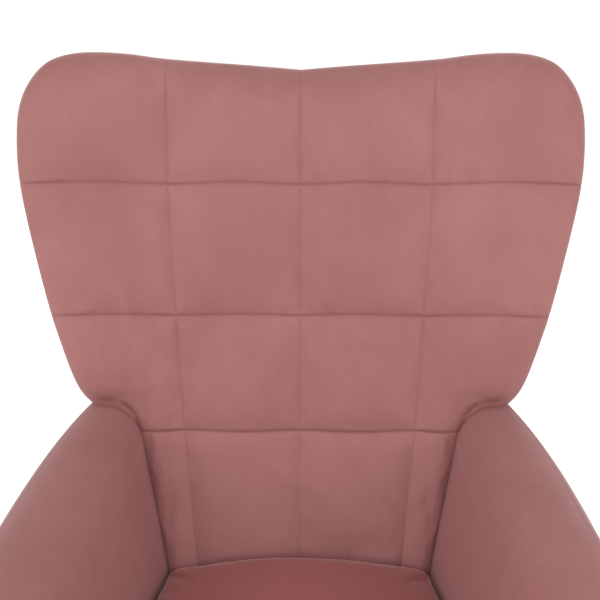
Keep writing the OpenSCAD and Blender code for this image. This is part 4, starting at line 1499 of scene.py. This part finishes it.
@dataclass
class Studio:
    """The pale floor that curves up into a wall, the soft lights and the camera.

    Attributes:
        floor_r: Radius of the flat floor.
        curve_r: Radius of the curve into the wall.
        wall_h: Height of the wall.
        glow: How much light the floor and wall give off.
        mottle_mm: Size of the paper's faint mottling.
        surround: Strength of the even light from all round.
        lamps: The lights.
        lens: The camera's focal length in millimetres.
        pitch: How far it looks down.
        turn: How far it stands to the right of the middle.
        reach: Its distance from what it looks at.
        aim: The point it looks at.
    """

    floor_r: float = 9.0
    curve_r: float = 2.0
    wall_h: float = 8.0
    glow: float = 0.32
    mottle_mm: float = 333.0
    surround: float = 0.48
    lamps: tuple[Lamp, ...] = (
        Lamp("front_light", (-0.35, -4.7, 2.0), (0, 0.1, 0.75), 3.0, 42),
        Lamp("top_light", (0.0, -0.7, 3.3), (0, -0.1, 0.5), 1.6, 14),
        Lamp("left_light", (-3.0, -1.0, 2.2), (0, 0.1, 0.6), 1.8, 26),
        Lamp("right_light", (3.0, -1.0, 2.2), (0, 0.1, 0.6), 1.8, 22),
        Lamp("low_light", (-0.2, -3.4, 0.9), (0, 0.1, 0.7), 1.6, 10),
        Lamp("seat_light", (0.0, -1.5, 0.82), (0, 0.2, 0.55), 0.4, 2.2),
        Lamp("rear_light", (0.5, 3.0, 2.6), (0, 0.1, 0.6), 2.0, 30))
    lens: float = 120.0
    pitch: float = math.radians(16)
    turn: float = math.radians(0.7)
    reach: float = 2.4
    aim: Place = (0.0, 0.223, 0.759)

    def build(self) -> None:
        """Makes everything that isn't part of the chair."""
        self.floor()
        self.lights()
        self.camera()

    def floor(self) -> None:
        """Makes a round floor that curves up into a wall all round."""
        outer = self.floor_r + self.curve_r
        profile = [(0.0, 0.0), (self.floor_r, 0.0)]
        profile += [(self.floor_r + self.curve_r * math.sin(a), self.curve_r * (1 - math.cos(a)))
                    for a in np.radians(range(6, 91, 6))]
        profile.append((outer, self.wall_h))
        bm = bmesh.new()
        verts = [bm.verts.new((reach, 0.0, height)) for reach, height in profile]
        edges = [bm.edges.new(pair) for pair in zip(verts, verts[1:])]
        bmesh.ops.spin(bm, geom=verts + edges, cent=(0, 0, 0), axis=(0, 0, 1), angle=2 * math.pi,
                       steps=96, use_merge=True)
        bmesh.ops.remove_doubles(bm, verts=bm.verts, dist=1e-5)
        bmesh.ops.recalc_face_normals(bm, faces=bm.faces)
        bmesh.ops.reverse_faces(bm, faces=bm.faces)
        floor = new_object("studio_floor", bm)
        material, tree, shader, place = new_material("studio_paper")
        mottle = add(tree, "ShaderNodeTexNoise", {"Vector": place, "Scale": 1000 / self.mottle_mm})
        tree.links.new(ramp(tree, mottle.outputs["Fac"], [(0.3, "#F4F4F3"), (0.7, "#F8F8F8")]),
                       shader.inputs["Base Color"])
        shader.inputs["Roughness"].default_value = 0.9
        shader.inputs["Emission Color"].default_value = (1, 1, 1, 1)
        shader.inputs["Emission Strength"].default_value = self.glow
        floor.data.materials.append(material)

    def lights(self) -> None:
        """Sets an even white surround and hangs the lights."""
        world = bpy.data.worlds.new("studio")
        bpy.context.scene.world = world
        world.use_nodes = True
        background = world.node_tree.nodes["Background"]
        background.inputs["Color"].default_value = (1, 1, 1, 1)
        background.inputs["Strength"].default_value = self.surround
        for lamp in self.lamps:
            lamp.hang()

    def camera(self) -> None:
        """Sets the camera in front of the back, a little above it."""
        data = bpy.data.cameras.new("camera")
        data.lens, data.sensor_width = self.lens, 36.0
        camera = bpy.data.objects.new("camera", data)
        level = math.cos(self.pitch)
        away = Vector((level * math.sin(self.turn), -level * math.cos(self.turn), math.sin(self.pitch)))
        camera.location = Vector(self.aim) + self.reach * away
        camera.rotation_euler = (math.pi / 2 - self.pitch, 0, self.turn)
        bpy.context.scene.collection.objects.link(camera)
        bpy.context.scene.camera = camera
        bpy.context.scene.view_settings.view_transform = "Standard"


# ---------------------------------------------------------------- putting it together


def cover(node: str, pieces: Sequence[bpy.types.Object], cloth: bpy.types.Material) -> None:
    """Dresses a padded piece, lets it stand for its CAD node and reports it.

    Args:
        node: The CAD node.
        pieces: The padded piece, and then any trim that goes with it.
        cloth: The material they are covered in.
    """
    for piece in pieces:
        piece.data.materials.clear()
        piece.data.materials.append(cloth)
        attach(piece, "seat_unit")
        if piece is pieces[0]:
            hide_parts(node)
        log.info("made %s, %d faces", piece.name, len(piece.data.polygons))


def main() -> None:
    """Builds the studio and then the chair."""
    logging.basicConfig(level=logging.INFO, format="%(name)s: %(message)s")
    Studio().build()
    CadPieces().dress()
    shape = ShellShape()
    velvet = Velvet().make()
    pad = BackPad(shape)
    cover("back_pad", [pad.build()], velvet)
    cover("back_cover", BackCover(shape, pad).build(), velvet)
    for side in Side:
        cover(f"arm_pad_{side.name.lower()}", [ArmPad(shape, side).build()], velvet)
    cover("seat_cushion", [SeatCushion(shape).build()], velvet)
    cover("front_apron", [FrontApron().build()], velvet)
    lining = Lining(shape).build()
    lining.data.materials.append(Woven("non_woven_lining", "#2B2B2D", "#151516", 1.0).make())
    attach(lining, "seat_unit")
    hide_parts("dust_cover")
    log.info("made %s, %d faces", lining.name, len(lining.data.polygons))


if __name__ == "__main__":
    main()
